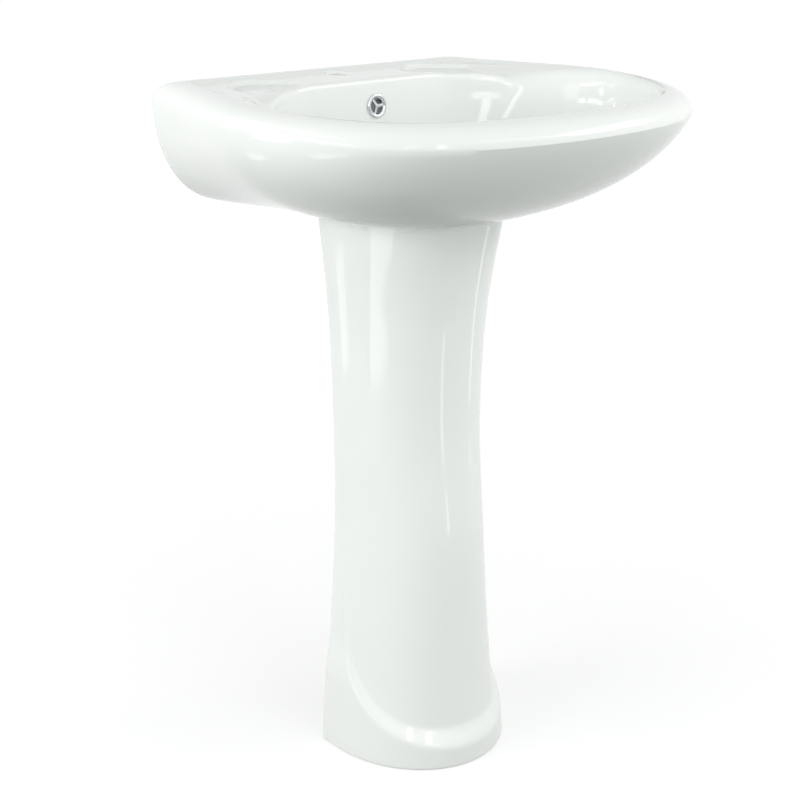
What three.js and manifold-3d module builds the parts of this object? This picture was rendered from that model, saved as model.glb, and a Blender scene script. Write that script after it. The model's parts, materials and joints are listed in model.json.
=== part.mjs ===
// Pedestal washbasin in glazed vitreous china: a D-shaped basin with a tap ledge and two soap
// hollows, standing on a hollow column, with its overflow cover, push-button waste and trap.
// Millimetres, +Z up. X runs along the wall, +Y points to the wall, the origin is on the floor
// under the middle of the basin.
import * as THREE from 'three';
import { mergeVertices } from 'three/addons/utils/BufferGeometryUtils.js';
import Module from 'manifold-3d';

const wasm = await Module();
wasm.setup();

// ---- Driving dimensions ------------------------------------------------------------------

// Basin, outside
const basinWidth = 560;
const basinDepth = 485;
const rimHeight = 816; // floor to the raised rim
const wallPanelWidth = 452; // flat back against the wall, at the rim
const wallPanelFootWidth = 302; // the same, at the underside
const widestFromWall = 247; // the widest section
const rearCorner = 18; // plan radius where the back turns into the sides
const rimRoll = 29; // rolled edge of sides and front, seen from above
const backRoll = 38; // rolled edge along the wall
const rimRollDrop = 22; // height of the roll
const frontDrop = 8; // the front rim lies this much under the rear
const flatDeck = 187; // the rim is level this far from the wall, and then falls to the front
const deckSink = 3.8; // the tap deck lies this much under the rim round it
const deckSinkRun = 70; // length over which it dies out towards the bowl's sides
const bodyDrop = 142; // rim to the underside
const underWidth = 166; // the underside's middle
const underFromFront = 164; // front rim to the underside's front edge
// Basin, inside
const rimWidth = 40; // outer edge to the bowl's wall, at sides and front
const bowlDepth = 133; // rim to the bowl's floor
const ledgeDepth = 133; // wall to the bowl, over the tap ledge
const ledgeHalfWidth = 92; // straight front edge of the tap ledge, each side of the middle
const bowlWidestFromWall = 272;
const lipDrop = 12; // rounded inner edge of the rim: height
const lipWidth = 10; // and width at sides and front
const ledgeLip = 6; // and width at the tap ledge
const china = 9; // wall thickness of the casting
const deckUnderside = 18; // rim to the casting's underside over the tap deck
const dishSpacing = 268; // soap hollows, middle to middle
const dishFromWall = 122;
const dishWidth = 116;
const dishLength = 142;
const dishDepth = 5;
// Holes in the basin
const tapHole = 35; // diameter
const tapHoleFromWall = 68;
const wallBoltHole = 14;
const wallBoltSpacing = 280;
const wallBoltDrop = 88; // under the rim
const rearOpeningWidth = 190; // hand hole under the tap ledge
const overflowHole = 23;
const overflowDrop = 35; // rim to the overflow's centre
const channelBore = 17; // overflow passage inside the casting
const channelWall = 5;
const coverDiameter = 28; // overflow cover
const coverThickness = 2.8;
const coverCollar = 8; // length inside the hole
const coverWall = 1.2;
const spokeWidth = 2.4;
const sleeveWall = 0.8;
// Column
const columnWall = 11;
const columnRearFromWall = 153;
const columnCheek = 25; // straight length of the section's sides behind its curve
const columnFlange = 26; // turned-in rear edges
const columnCorner = 9;
const columnSeatGap = 0.4; // bedding joint between basin and column
const columnFootWidth = 221; // without the plinth
const columnFootFromWall = 311; // wall to the front of the foot, without the plinth
const columnWaist = 21; // the waist is narrower than the foot by this on each side
const columnWaistBack = 30; // and its front lies this far behind the foot's
const plinthStep = 11; // the plinth stands this far out at the front
const plinthSideStep = 4; // and this far at the sides
const plinthFrontHeight = 36;
const plinthLean = 14; // even rise of its upper line from the front to the sides
const plinthBow = 112; // rise that grows steeper towards the sides
const plinthUpright = 37; // the line stands upright this far in front of the column's rear
const plinthFillet = 40; // height over which the step fades into the column, in front
const plinthSideFillet = 20;
const plinthFade = [110, 220]; // heights between which the side step dies out
const earSize = 36; // floor-screw ears in the rear corners of the foot
const earThickness = 14;
const screwHole = 9;
// Waste
const drainFromWall = 225;
const wasteHole = 46;
const flangeDiameter = 64;
const flangeThickness = 3;
const flangeSink = 4; // depth of the seat around the waste hole
const wasteBossDiameter = 88;
const wasteBossDrop = 38; // seat to the boss's underside
const wasteBodyDiameter = 43;
const wasteBodyLength = 84; // under the flange
const wasteWall = 2.5;
const sealThickness = 2;
const gasketHeight = 12;
const washerThickness = 2;
const locknutHeight = 12;
const locknutFlats = 62;
const windowWidth = 12; // overflow windows in the waste body
const windowHeight = 15;
const windowDrop = 20; // under the flange
const hubDiameter = 20;
const hubHeight = 6;
const ribWidth = 3;
const hubDrop = 44; // flange to the top of the spider
// Push-button stopper
const capDiameter = 55;
const capThickness = 6;
const stemDiameter = 8;
const stemHeld = 17; // length of stem left in the cartridge when the stopper is up
const cartridgeDiameter = 14;
const cartridgeLength = 44;
const cartridgeCollar = 3;
const springWire = 1.1;
const springTurns = 5;
const stopperTravel = 9; // shut to open, straight up
// Tailpiece and trap
const tubeDiameter = 32;
const tubeWall = 1.6;
const tailpieceLength = 112;
const tailpieceInsert = 22;
const socketWall = 2.4;
const socketDepth = 26;
const trapBend = 34; // centreline radius of the U
const trapInletLeg = 36;
const trapOutletLeg = 18;
const armBend = 30;
const armInsert = 16; // length of the arm inside the trap's outlet
const armRise = 12; // trap nut to the arm's bend
const armReach = 45; // straight outlet
const nutDiameter = 50;
const nutHeight = 20;
const nutLip = 3.5;
const coneHeight = 6;
// Clearances
const fitGap = 0.2; // faces that touch
const slideGap = 0.25; // stem in its cartridge, tube in a socket
const segments = 16; // facets of round pieces
const channelSides = 12; // facets and steps of the overflow passage

// ---- Derived places ----------------------------------------------------------------------

const wallY = basinDepth / 2;
const frontY = -basinDepth / 2;
const drainY = wallY - drainFromWall;
const bowlFloorZ = rimHeight - bowlDepth;
const seatZ = bowlFloorZ - flangeSink;
const bossBottomZ = seatZ - wasteBossDrop;
const undersideZ = rimHeight - bodyDrop;

// ---- Solids ------------------------------------------------------------------------------

const point = (x, y, z) => new THREE.Vector3(x, y, z);
const mix = THREE.MathUtils.lerp;
const smooth = THREE.MathUtils.smoothstep;

function solid(geometry) {
  const bare = geometry.clone();
  for (const name of ['normal', 'uv']) bare.deleteAttribute(name);
  const merged = mergeVertices(bare, 1e-4);
  return new wasm.Manifold(new wasm.Mesh({
    numProp: 3,
    vertProperties: new Float32Array(merged.attributes.position.array),
    triVerts: new Uint32Array(merged.index.array),
  }));
}

function geometryOf(body) {
  const mesh = body.getMesh();
  const geometry = new THREE.BufferGeometry();
  geometry.setAttribute('position', new THREE.BufferAttribute(mesh.vertProperties, 3));
  geometry.setIndex(new THREE.BufferAttribute(mesh.triVerts, 1));
  geometry.computeVertexNormals();
  return geometry;
}

// Closed skin through rings of equal length, each counter-clockwise seen from above, first one
// lowest; both ends are closed with a fan.
function loft(rings) {
  const count = rings[0].length;
  const positions = rings.flat().flatMap((p) => [p.x, p.y, p.z]);
  const index = [];
  for (let r = 0; r + 1 < rings.length; r++) {
    for (let i = 0; i < count; i++) {
      const j = (i + 1) % count;
      const [a, b, c, d] = [r * count + i, r * count + j, (r + 1) * count + j, (r + 1) * count + i];
      index.push(a, b, c, a, c, d);
    }
  }
  for (const [ring, first, up] of [[rings[0], 0, false],
    [rings.at(-1), (rings.length - 1) * count, true]]) {
    const middle = ring.reduce((sum, p) => sum.add(p), point(0, 0, 0)).divideScalar(count);
    const hub = positions.length / 3;
    positions.push(middle.x, middle.y, middle.z);
    for (let i = 0; i < count; i++) {
      const pair = [first + i, first + (i + 1) % count];
      index.push(hub, ...(up ? pair : pair.reverse()));
    }
  }
  const geometry = new THREE.BufferGeometry();
  geometry.setAttribute('position', new THREE.Float32BufferAttribute(positions, 3));
  geometry.setIndex(index);
  return solid(geometry);
}

// Solid of revolution about Z from [radius, height] pairs that close on themselves.
function turned(profile, facets = segments) {
  const closed = [...profile, profile[0]].map(([r, z]) => new THREE.Vector2(r, z));
  let area = 0;
  for (let i = 0; i + 1 < closed.length; i++) area += closed[i].cross(closed[i + 1]);
  if (area < 0) closed.reverse();
  return solid(new THREE.LatheGeometry(closed, facets).rotateX(Math.PI / 2));
}

const ring = (inner, outer, bottom, top) =>
  turned([[inner, bottom], [outer, bottom], [outer, top], [inner, top]]);
const rod = (radius, bottom, top) => turned([[0, bottom], [radius, bottom], [radius, top], [0, top]]);

function block(x0, x1, y0, y1, z0, z1) {
  const box = new THREE.BoxGeometry(x1 - x0, y1 - y0, z1 - z0);
  return solid(box.translate((x0 + x1) / 2, (y0 + y1) / 2, (z0 + z1) / 2));
}

function alongPath(path, radius, steps, sides) {
  const section = new THREE.Shape().absarc(0, 0, radius, 0, 2 * Math.PI);
  return solid(new THREE.ExtrudeGeometry(section, {
    extrudePath: path, steps, curveSegments: sides / 2,
  }));
}

// ---- Basin -------------------------------------------------------------------------------

// Front half of a plan outline, from its widest point to the middle of the front.
const frontCurve = ({ half, widest, front }) => new THREE.CubicBezierCurve(
  new THREE.Vector2(half, widest),
  new THREE.Vector2(half, widest - 0.59 * (widest - front)),
  new THREE.Vector2(0.75 * half, front),
  new THREE.Vector2(0, front),
);

// Points on each stretch of an outline: back, corner, side, front.
const fine = [3, 4, 5, 12];
const coarse = [2, 2, 3, 8];

// Right half of the basin's outline, from the middle of the straight back to the front.
function basinHalf(o, counts = fine) {
  const turn = o.back - o.corner;
  const inner = o.backHalf - o.corner;
  const run = turn - o.widest;
  return [
    ...new THREE.LineCurve(new THREE.Vector2(0, o.back), new THREE.Vector2(inner, o.back))
      .getPoints(counts[0]).slice(0, -1),
    ...new THREE.EllipseCurve(inner, turn, o.corner, o.corner, Math.PI / 2, 0, true)
      .getPoints(counts[1]).slice(0, -1),
    ...new THREE.CubicBezierCurve(
      new THREE.Vector2(o.backHalf, turn),
      new THREE.Vector2(o.backHalf, turn - 0.2 * run),
      new THREE.Vector2(o.half, o.widest + 0.2 * run),
      new THREE.Vector2(o.half, o.widest),
    ).getPoints(counts[2]).slice(0, -1),
    ...frontCurve(o).getPoints(counts[3]),
  ];
}

// Right half of the bowl's outline: straight tap ledge, rounded diagonal side, front.
function bowlHalf(o, counts = fine) {
  return [
    ...new THREE.LineCurve(new THREE.Vector2(0, o.back), new THREE.Vector2(o.backHalf, o.back))
      .getPoints(counts[1]).slice(0, -1),
    ...new THREE.CubicBezierCurve(
      new THREE.Vector2(o.backHalf, o.back),
      new THREE.Vector2(mix(o.backHalf, o.half, 0.42), o.back),
      new THREE.Vector2(o.half, mix(o.widest, o.back, 0.34)),
      new THREE.Vector2(o.half, o.widest),
    ).getPoints(counts[1] + counts[0]).slice(0, -1),
    ...frontCurve(o).getPoints(counts[3]),
  ];
}

// Whole ring from a right half, with its height from a function of y.
function wholeRing(half, heightAt) {
  const left = half.map((p) => point(-p.x, p.y, heightAt(p.y)));
  const right = half.slice(1, -1).reverse().map((p) => point(p.x, p.y, heightAt(p.y)));
  return [...left, ...right];
}

const widestY = wallY - widestFromWall;
const leanStartY = wallY - flatDeck;
const lean = (y) => frontDrop * smooth(leanStartY - y, 0, leanStartY - frontY);
const settle = (y) => deckSink * smooth(y, 0, deckSinkRun);
// Quarter of a superellipse: 0 at the top of a wall, 1 at its foot.
const curl = (t, along, across) => 1 - (1 - t ** along) ** (1 / across);

// Basin's outside at a depth t, from 0 under the rolled rim to 1 at the underside, drawn in
// by `inset` on all sides.
const curveShare = 0.963; // of the quarter curves, which would reach the middle at 1
function outside(t, inset = 0) {
  const s = t * curveShare;
  const side = curl(s, 1.94, 3.14) / curl(curveShare, 1.94, 3.14);
  const nose = curl(s, 1.1, 2.37) / curl(curveShare, 1.1, 2.37);
  return {
    back: wallY - inset,
    backHalf: mix(wallPanelWidth, wallPanelFootWidth, side) / 2 - inset,
    corner: rearCorner,
    half: mix(basinWidth, underWidth, side) / 2 - inset,
    widest: widestY,
    front: frontY + underFromFront * nose + inset,
  };
}

function basinOuter() {
  const rings = [];
  const topZ = rimHeight - rimRollDrop;
  for (const t of [1, 0.96, 0.9, 0.82, 0.72, 0.6, 0.46, 0.31, 0.15]) {
    const z = mix(topZ, undersideZ, t);
    rings.push(wholeRing(basinHalf(outside(t)), (y) => z - lean(y) * (1 - t)));
  }
  for (const turn of [0, 0.22, 0.42, 0.62, 0.81, 1]) {
    const angle = turn * Math.PI / 2;
    const roll = 1 - Math.cos(angle);
    const o = outside(0);
    o.back -= backRoll * roll;
    o.backHalf -= 0.6 * rimRoll * roll;
    o.half -= rimRoll * roll;
    o.front += rimRoll * roll;
    const z = topZ + rimRollDrop * Math.sin(angle);
    rings.push(wholeRing(basinHalf(o), (y) => z - lean(y)));
  }
  const crest = rings.at(-1);
  for (const [scale, sunk] of [[0.98, 0], [0.91, 1], [0.75, 1], [0.5, 1], [0.2, 1]]) {
    rings.push(crest.map((p) => {
      const y = mix(drainY, p.y, scale);
      return point(p.x * scale, y, rimHeight - lean(y) - sunk * settle(y));
    }));
  }
  return loft(rings);
}

const ledgeY = wallY - ledgeDepth;
// Bowl's wall at a depth t, from 0 under the rounded lip to 1 at the floor, grown by `outset`.
function bowlWall(t, outset = 0) {
  const flat = wasteBossDiameter / 2 - china;
  const side = curl(t * 0.995, 2.2, 2.2);
  const nose = curl(t * 0.995, 2, 2);
  const rear = curl(t * 0.995, 1.6, 3);
  return {
    back: mix(ledgeY, drainY + flat, rear) + outset,
    backHalf: mix(ledgeHalfWidth, flat / 4, side) + outset / 2,
    half: mix(basinWidth / 2 - rimWidth, flat, side) + outset,
    widest: mix(wallY - bowlWidestFromWall, drainY, nose),
    front: mix(frontY + rimWidth, drainY - flat, nose) - outset,
  };
}
const bowlZ = (t) => mix(rimHeight - lipDrop, bowlFloorZ, t);
const bowlLevels = [1, 0.98, 0.94, 0.86, 0.74, 0.58, 0.4, 0.2, 0];

function bowlInner() {
  const rings = bowlLevels.map((t) =>
    wholeRing(bowlHalf(bowlWall(t)), (y) => bowlZ(t) - lean(y) * (1 - t)
      - settle(y) * (1 - t) ** 6));
  for (const angle of [0.3, 0.6, 0.85, 1].map((turn) => turn * Math.PI / 2)) {
    const roll = 1 - Math.cos(angle);
    const o = bowlWall(0);
    o.back += ledgeLip * roll;
    o.half += lipWidth * roll;
    o.front -= lipWidth * roll;
    const z = bowlZ(0) + lipDrop * Math.sin(angle);
    rings.push(wholeRing(bowlHalf(o), (y) => z - lean(y) - settle(y)));
  }
  rings.push(rings.at(-1).map((p) => point(p.x, p.y, rimHeight + lipDrop)));
  return loft(rings);
}

// The hollow of the double-walled casting, between the outside and the bowl.
function castingHollow() {
  const topZ = rimHeight - deckUnderside;
  const levels = [0.95, 0.82, 0.65, 0.45, 0.22, 0];
  const within = loft(levels.map((t) => {
    const z = mix(topZ, undersideZ + china, t);
    return wholeRing(basinHalf(outside(t, china), coarse), (y) => z - lean(y) * (1 - t));
  }));
  const around = loft([1, 0.94, 0.84, 0.68, 0.46, 0.2, 0, -0.3].map((t) =>
    wholeRing(bowlHalf(bowlWall(Math.max(t, 0), china), coarse), (y) => bowlZ(t) - china
      - lean(y) * (1 - t))));
  const handHole = block(-rearOpeningWidth / 2, rearOpeningWidth / 2, ledgeY + china + 4,
    wallY - china, undersideZ - 1, undersideZ + 4 * china);
  return within.subtract(around).add(handHole);
}

function soapHollow(side) {
  const dish = new THREE.SphereGeometry(1, 24, 12);
  dish.scale(dishWidth / 2, dishLength / 2, dishDepth);
  return solid(dish.translate(side * dishSpacing / 2, wallY - dishFromWall,
    rimHeight - deckSink));
}

// Place and tilt of the overflow on the bowl's rear wall.
function overflowSeat() {
  const z = rimHeight - overflowDrop;
  const t = (rimHeight - lipDrop - z) / (rimHeight - lipDrop - bowlFloorZ);
  const step = 0.02;
  const slope = (bowlWall(t - step).back - bowlWall(t + step).back) / (bowlZ(t - step) - bowlZ(t + step));
  return { y: bowlWall(t).back, z, tilt: Math.atan(slope) };
}
const overflow = overflowSeat();

// Cylinder about the overflow's axis, from `low` to `high` in front of the bowl's wall.
const atOverflow = (body) => body.rotate([90 - THREE.MathUtils.radToDeg(overflow.tilt), 0, 0])
  .translate([0, overflow.y, overflow.z]);

function overflowPath() {
  const behind = ledgeY + china + channelBore / 2;
  return new THREE.CatmullRomCurve3([
    point(0, overflow.y + china / 2, overflow.z),
    point(0, behind, overflow.z - 8),
    point(0, behind, mix(overflow.z, bowlFloorZ, 0.55)),
    point(0, mix(drainY, behind, 0.75), bowlFloorZ - 2),
    point(0, mix(drainY, behind, 0.4), seatZ - windowDrop),
    point(0, drainY + wasteBodyDiameter / 4, seatZ - windowDrop),
  ]);
}

function basin() {
  const boss = rod(wasteBossDiameter / 2, bossBottomZ, seatZ + 2).translate([0, drainY, 0]);
  const passage = overflowPath();
  let body = basinOuter().subtract(castingHollow());
  const along = (radius) => alongPath(passage, radius, channelSides, channelSides);
  body = body.add(along(channelBore / 2 + channelWall)).add(boss);
  body = body.subtract(bowlInner());
  for (const side of [-1, 1]) {
    body = body.subtract(soapHollow(side));
    const bolt = rod(wallBoltHole / 2, -2 * china, 2 * china).rotate([90, 0, 0]);
    body = body.subtract(bolt.translate([side * wallBoltSpacing / 2, wallY,
      rimHeight - wallBoltDrop]));
  }
  const drainCuts = rod(wasteHole / 2, bossBottomZ - 1, bowlFloorZ + 1)
    .add(rod(flangeDiameter / 2 + 2, seatZ, bowlFloorZ + 3));
  const tapCut = rod(tapHole / 2, rimHeight - deckUnderside - 1, rimHeight + 1);
  return body
    .subtract(along(channelBore / 2))
    .subtract(atOverflow(rod(overflowHole / 2, -china - 2, 6)))
    .subtract(atOverflow(rod(coverDiameter / 2 + 1, 0, 6)))
    .subtract(drainCuts.translate([0, drainY, 0]))
    .subtract(tapCut.translate([0, wallY - tapHoleFromWall, 0]));
}

// ---- Column ------------------------------------------------------------------------------

const columnRearY = wallY - columnRearFromWall;
const columnTopZ = undersideZ;
// Half-width and front of the column against its height, as shares of its waist.
const columnProfile = [
  { at: 0, narrower: 0, back: 0 },
  { at: 0.07, narrower: 0.167, back: 0.1 },
  { at: 0.22, narrower: 0.524, back: 0.4 },
  { at: 0.42, narrower: 0.976, back: 0.617 },
  { at: 0.62, narrower: 1, back: 1 },
  { at: 0.82, narrower: 0.738, back: 0.783 },
  { at: 1, narrower: 0.143, back: 0 },
];
const columnSide = new THREE.SplineCurve(
  columnProfile.map((p) => new THREE.Vector2(p.at, p.narrower)));
const columnNose = new THREE.SplineCurve(columnProfile.map((p) => new THREE.Vector2(p.at, p.back)));

// Spline value at a share of the column's height.
function profileAt(curve, share) {
  let [low, high] = [0, 1];
  for (let i = 0; i < 40; i++) {
    const middle = (low + high) / 2;
    if (curve.getPoint(middle).x < share) low = middle;
    else high = middle;
  }
  return curve.getPoint(low).y;
}

function columnHalf(z, inset, rearReach) {
  const share = THREE.MathUtils.clamp(z / columnTopZ, 0, 1.02);
  const half = columnFootWidth / 2 - columnWaist * profileAt(columnSide, share) - inset;
  const front = wallY - columnFootFromWall + columnWaistBack * profileAt(columnNose, share) + inset;
  const middle = columnRearY - columnCheek;
  const rear = columnRearY + rearReach;
  const corner = rearReach > 0 ? 1 : columnCorner;
  const curve = new THREE.EllipseCurve(0, middle, half, middle - front, 0, -Math.PI / 2, true);
  return [
    new THREE.Vector2(0, rear), new THREE.Vector2(half - corner, rear),
    new THREE.Vector2(half - 0.3 * corner, rear - 0.3 * corner),
    new THREE.Vector2(half, rear - corner),
    ...curve.getPoints(14),
  ];
}

// The plinth swells out of the column outside a U that is low in front and upright at the sides.
function plinthSwell(p, z) {
  const middle = columnRearY - columnCheek;
  const foot = wallY - columnFootFromWall;
  const upright = columnRearY - plinthUpright;
  const along = THREE.MathUtils.clamp((p.y - foot) / (upright - foot), 0, 1);
  const bow = plinthBow * (1 - Math.sqrt(1 - along * along));
  const behind = 8 * Math.max(p.y - upright, 0);
  const line = plinthFrontHeight + plinthLean * along + bow + behind;
  const fillet = mix(plinthFillet, plinthSideFillet, along);
  const turn = Math.atan2(Math.abs(p.x), middle - p.y); // 0 in front, a quarter turn at the sides
  const forward = Math.cos(Math.min(turn, Math.PI / 2));
  const step = mix(plinthSideStep * (1 - smooth(z, ...plinthFade)), plinthStep, forward);
  const rise = smooth(line + fillet / 2 - z, 0, fillet);
  const away = new THREE.Vector2(p.x, Math.min(p.y - middle, 0)).normalize();
  return p.clone().addScaledVector(away, rise * step);
}

function column() {
  const swellTop = plinthFade[1];
  const low = [0, 0.07, 0.12, 0.17, 0.22, 0.28, 0.36, 0.46, 0.57, 0.7, 0.84, 1].map((s) => s * swellTop);
  const high = [0.1, 0.25, 0.4, 0.55, 0.7, 0.83, 0.93, 1, 1.08].map((s) => mix(swellTop, columnTopZ, s));
  const levels = [...low, ...high];
  const outer = loft(levels.map((z) =>
    wholeRing(columnHalf(z, 0, 0).map((p) => plinthSwell(p, z)), () => z)));
  const inside = [-1, swellTop / 2, swellTop, ...high, 1.1 * columnTopZ];
  const hollow = loft(inside.map((z) =>
    wholeRing(columnHalf(z, columnWall, -columnWall), () => z)));
  const slot = loft(inside.map((z) =>
    wholeRing(columnHalf(z, columnWall + columnFlange, columnWall), () => z)));
  let body = outer.subtract(hollow).subtract(slot);
  const earX = columnFootWidth / 2 - columnWall - earSize / 2;
  const earReach = (earSize + columnWall) / 2; // half the ear, into the column's wall
  for (const side of [-1, 1]) {
    const x = side * earX;
    const ear = block(x - earReach, x + earReach,
      columnRearY - earSize, columnRearY - columnWall / 2, 0, earThickness);
    body = body.add(ear.intersect(outer));
    body = body.subtract(rod(screwHole / 2, -1, earThickness + 1)
      .translate([x, columnRearY - earSize / 2, 0]));
  }
  return body.subtract(basinOuter().translate([0, 0, -columnSeatGap]));
}

// ---- Overflow cover, about its own axis, with z = 0 on the bowl's wall --------------------

const turnedGap = 0.3; // faces that touch inside the tilted group
const sleeveOuter = overflowHole / 2 - turnedGap;
const collarOuter = sleeveOuter - sleeveWall - turnedGap;
const coverBore = collarOuter - coverWall;

function overflowCover() {
  const rim = coverDiameter / 2;
  const profile = [[coverBore, -coverCollar], [collarOuter, -coverCollar],
    [collarOuter, turnedGap], [rim, turnedGap], [rim, coverThickness / 2],
    [rim - coverWall, coverThickness], [coverBore + coverWall, coverThickness],
    [coverBore, coverThickness - coverWall]];
  let body = turned(profile).add(rod(spokeWidth, -coverWall, coverWall));
  for (const turn of [40, 160, 280]) {
    const spoke = block(0, coverBore + coverWall / 2, -spokeWidth / 2, spokeWidth / 2,
      -coverWall, coverWall);
    body = body.add(spoke.rotate([0, 0, turn]));
  }
  return body;
}
const overflowSleeve = () =>
  ring(sleeveOuter - sleeveWall, sleeveOuter, -coverCollar, -turnedGap);

// ---- Waste, about the drain's axis, with z = 0 on the seat in the bowl's floor ------------

const bodyRadius = wasteBodyDiameter / 2;
const bodyBore = bodyRadius - wasteWall;
const flangeBottom = sealThickness + 2 * fitGap;
const flangeTop = flangeBottom + flangeThickness;
const bodyBottom = flangeBottom - wasteBodyLength;
const tubeRadius = tubeDiameter / 2;
const tubeSocket = tubeRadius + slideGap;
const tubeBore = tubeRadius - tubeWall;
const tailpieceTop = bodyBottom + tailpieceInsert;
const hubTop = flangeBottom - hubDrop;
const gasketTop = -wasteBossDrop - fitGap;
const washerTop = gasketTop - gasketHeight - fitGap;
const locknutTop = washerTop - washerThickness - fitGap;
const threadBore = bodyRadius + slideGap;

const flangeSeal = () =>
  ring(threadBore, flangeDiameter / 2 - 2, fitGap, fitGap + sealThickness);

function wasteBody() {
  const shoulder = 3;
  let body = turned([[tubeSocket, bodyBottom], [bodyRadius, bodyBottom],
    [bodyRadius, flangeBottom], [flangeDiameter / 2, flangeBottom],
    [flangeDiameter / 2 - 1.5, flangeTop], [bodyBore + 4, flangeTop],
    [bodyBore, flangeTop - 3], [bodyBore, tailpieceTop + 2 * shoulder],
    [tubeBore, tailpieceTop + shoulder], [tubeBore, tailpieceTop], [tubeSocket, tailpieceTop]]);
  const windowZ = -windowDrop;
  for (const turn of [0, 90]) {
    const window = block(-2 * bodyRadius, 2 * bodyRadius, -windowWidth / 2, windowWidth / 2,
      windowZ - windowHeight / 2, windowZ + windowHeight / 2);
    body = body.subtract(window.rotate([0, 0, turn]));
  }
  let spider = rod(hubDiameter / 2, hubTop - hubHeight, hubTop);
  for (const turn of [45, 165, 285]) {
    const rib = block(0, bodyBore + wasteWall / 2, -ribWidth / 2, ribWidth / 2,
      hubTop - hubHeight, hubTop);
    spider = spider.add(rib.rotate([0, 0, turn]));
  }
  const thread = rod(cartridgeDiameter / 2 + slideGap, hubTop - hubHeight - 1, hubTop + 1);
  return body.add(spider.subtract(thread));
}

const taperGasket = () => turned([[threadBore, gasketTop - gasketHeight],
  [flangeDiameter / 2 + 1, gasketTop - gasketHeight], [flangeDiameter / 2 + 1, gasketTop - 8],
  [wasteHole / 2 + 3, gasketTop], [threadBore, gasketTop]]);
const frictionWasher = () =>
  ring(threadBore, flangeDiameter / 2 + 1, washerTop - washerThickness, washerTop);

function hexagon(flats, bottom, top) {
  const corner = flats / 2 / Math.cos(Math.PI / 6);
  return turned([[0, bottom], [corner - 1.5, bottom], [corner, bottom + 1.5], [corner, top - 1.5],
    [corner - 1.5, top], [0, top]], 6);
}
const locknut = () => hexagon(locknutFlats, locknutTop - locknutHeight, locknutTop)
  .subtract(rod(threadBore, locknutTop - locknutHeight - 1, locknutTop + 1));

// Push-button stopper, shown shut.
const stopperSealBottom = flangeTop + fitGap;
const capBottom = stopperSealBottom + sealThickness + fitGap;
const stemTop = capBottom - fitGap;
const stemBore = stemDiameter / 2 + slideGap;
const cartridgeBottom = hubTop - hubHeight - 2.4;
const cartridgeTop = cartridgeBottom + cartridgeLength;
const chamberFloor = cartridgeBottom + 2;
const stemBottom = cartridgeTop - stopperTravel - stemHeld;

const stopperCap = () => turned([[0, capBottom], [capDiameter / 2 - 1, capBottom],
  [capDiameter / 2, capBottom + 1], [capDiameter / 2, capBottom + 2.2],
  [capDiameter / 2 - 2.5, capBottom + 4.2], [capDiameter / 3, capBottom + capThickness - 0.5],
  [0, capBottom + capThickness]]);
const stopperSeal = () =>
  ring(bodyBore - 4, bodyBore + 5, stopperSealBottom, stopperSealBottom + sealThickness);
const stopperStem = () => turned([[0, stemBottom], [stemDiameter / 2, stemBottom],
  [stemDiameter / 2, stemTop - 3], [stemDiameter / 2 + 3, stemTop], [0, stemTop]]);
const stopperCartridge = () => turned([[0, cartridgeBottom], [cartridgeDiameter / 2, cartridgeBottom],
  [cartridgeDiameter / 2, hubTop + fitGap], [hubDiameter / 2, hubTop + fitGap],
  [hubDiameter / 2, hubTop + fitGap + cartridgeCollar],
  [cartridgeDiameter / 2, hubTop + fitGap + cartridgeCollar],
  [cartridgeDiameter / 2, cartridgeTop], [stemBore, cartridgeTop], [stemBore, chamberFloor],
  [0, chamberFloor]]);

class Helix extends THREE.Curve {
  constructor(radius, bottom, top, turns) {
    super();
    Object.assign(this, { radius, bottom, top, turns });
  }

  getPoint(t, target = new THREE.Vector3()) {
    const angle = 2 * Math.PI * this.turns * t;
    return target.set(this.radius * Math.cos(angle), this.radius * Math.sin(angle),
      mix(this.bottom, this.top, t));
  }
}
function stopperSpring() {
  const wire = springWire / 2;
  const coil = new Helix(stemBore - slideGap - wire, chamberFloor + wire + fitGap,
    stemBottom - wire - fitGap, springTurns);
  return alongPath(coil, wire, 8 * springTurns, 6);
}

// ---- Tailpiece and trap, about the drain's axis -------------------------------------------

const tailpieceBottom = tailpieceTop - fitGap - tailpieceLength;
const inletTop = tailpieceBottom + socketDepth;
const bendZ = inletTop - trapInletLeg;
const outletTop = bendZ + trapOutletLeg;
const outletY = 2 * trapBend;
const socketRadius = tubeSocket + socketWall;

const tailpiece = () => ring(tubeBore, tubeRadius, tailpieceBottom, tailpieceTop - fitGap);

// Stations of a pipe run in the plane x = 0: [y, z, heading], the heading being an angle from +Y.
const quarter = Math.PI / 2;
function elbow(y, z, radius, from, to, steps) {
  const way = Math.sign(to - from) * quarter;
  return Array.from({ length: steps + 1 }, (_, i) => {
    const angle = mix(from, to, i / steps);
    return [y + radius * Math.cos(angle), z + radius * Math.sin(angle), angle + way];
  });
}

// Round bar through such stations, drawn out by `over` at both ends.
function bar(stations, radius, over) {
  const last = stations.length - 1;
  return loft(stations.map(([y, z, heading], i) => {
    const out = (i === last) - (i === 0);
    return Array.from({ length: segments }, (_, k) => {
      const angle = 2 * Math.PI * k / segments;
      const lift = radius * Math.sin(angle);
      return point(radius * Math.cos(angle),
        y + out * over * Math.cos(heading) + lift * Math.sin(heading),
        z + out * over * Math.sin(heading) - lift * Math.cos(heading));
    });
  }));
}
const pipe = (stations, outer, bore) => bar(stations, outer, 0).subtract(bar(stations, bore, 1));

const jBend = () => pipe([
  [0, inletTop, -quarter],
  ...elbow(trapBend, bendZ, trapBend, -Math.PI, 0, 12),
  [outletY, outletTop, quarter],
], socketRadius, tubeSocket);

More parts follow.
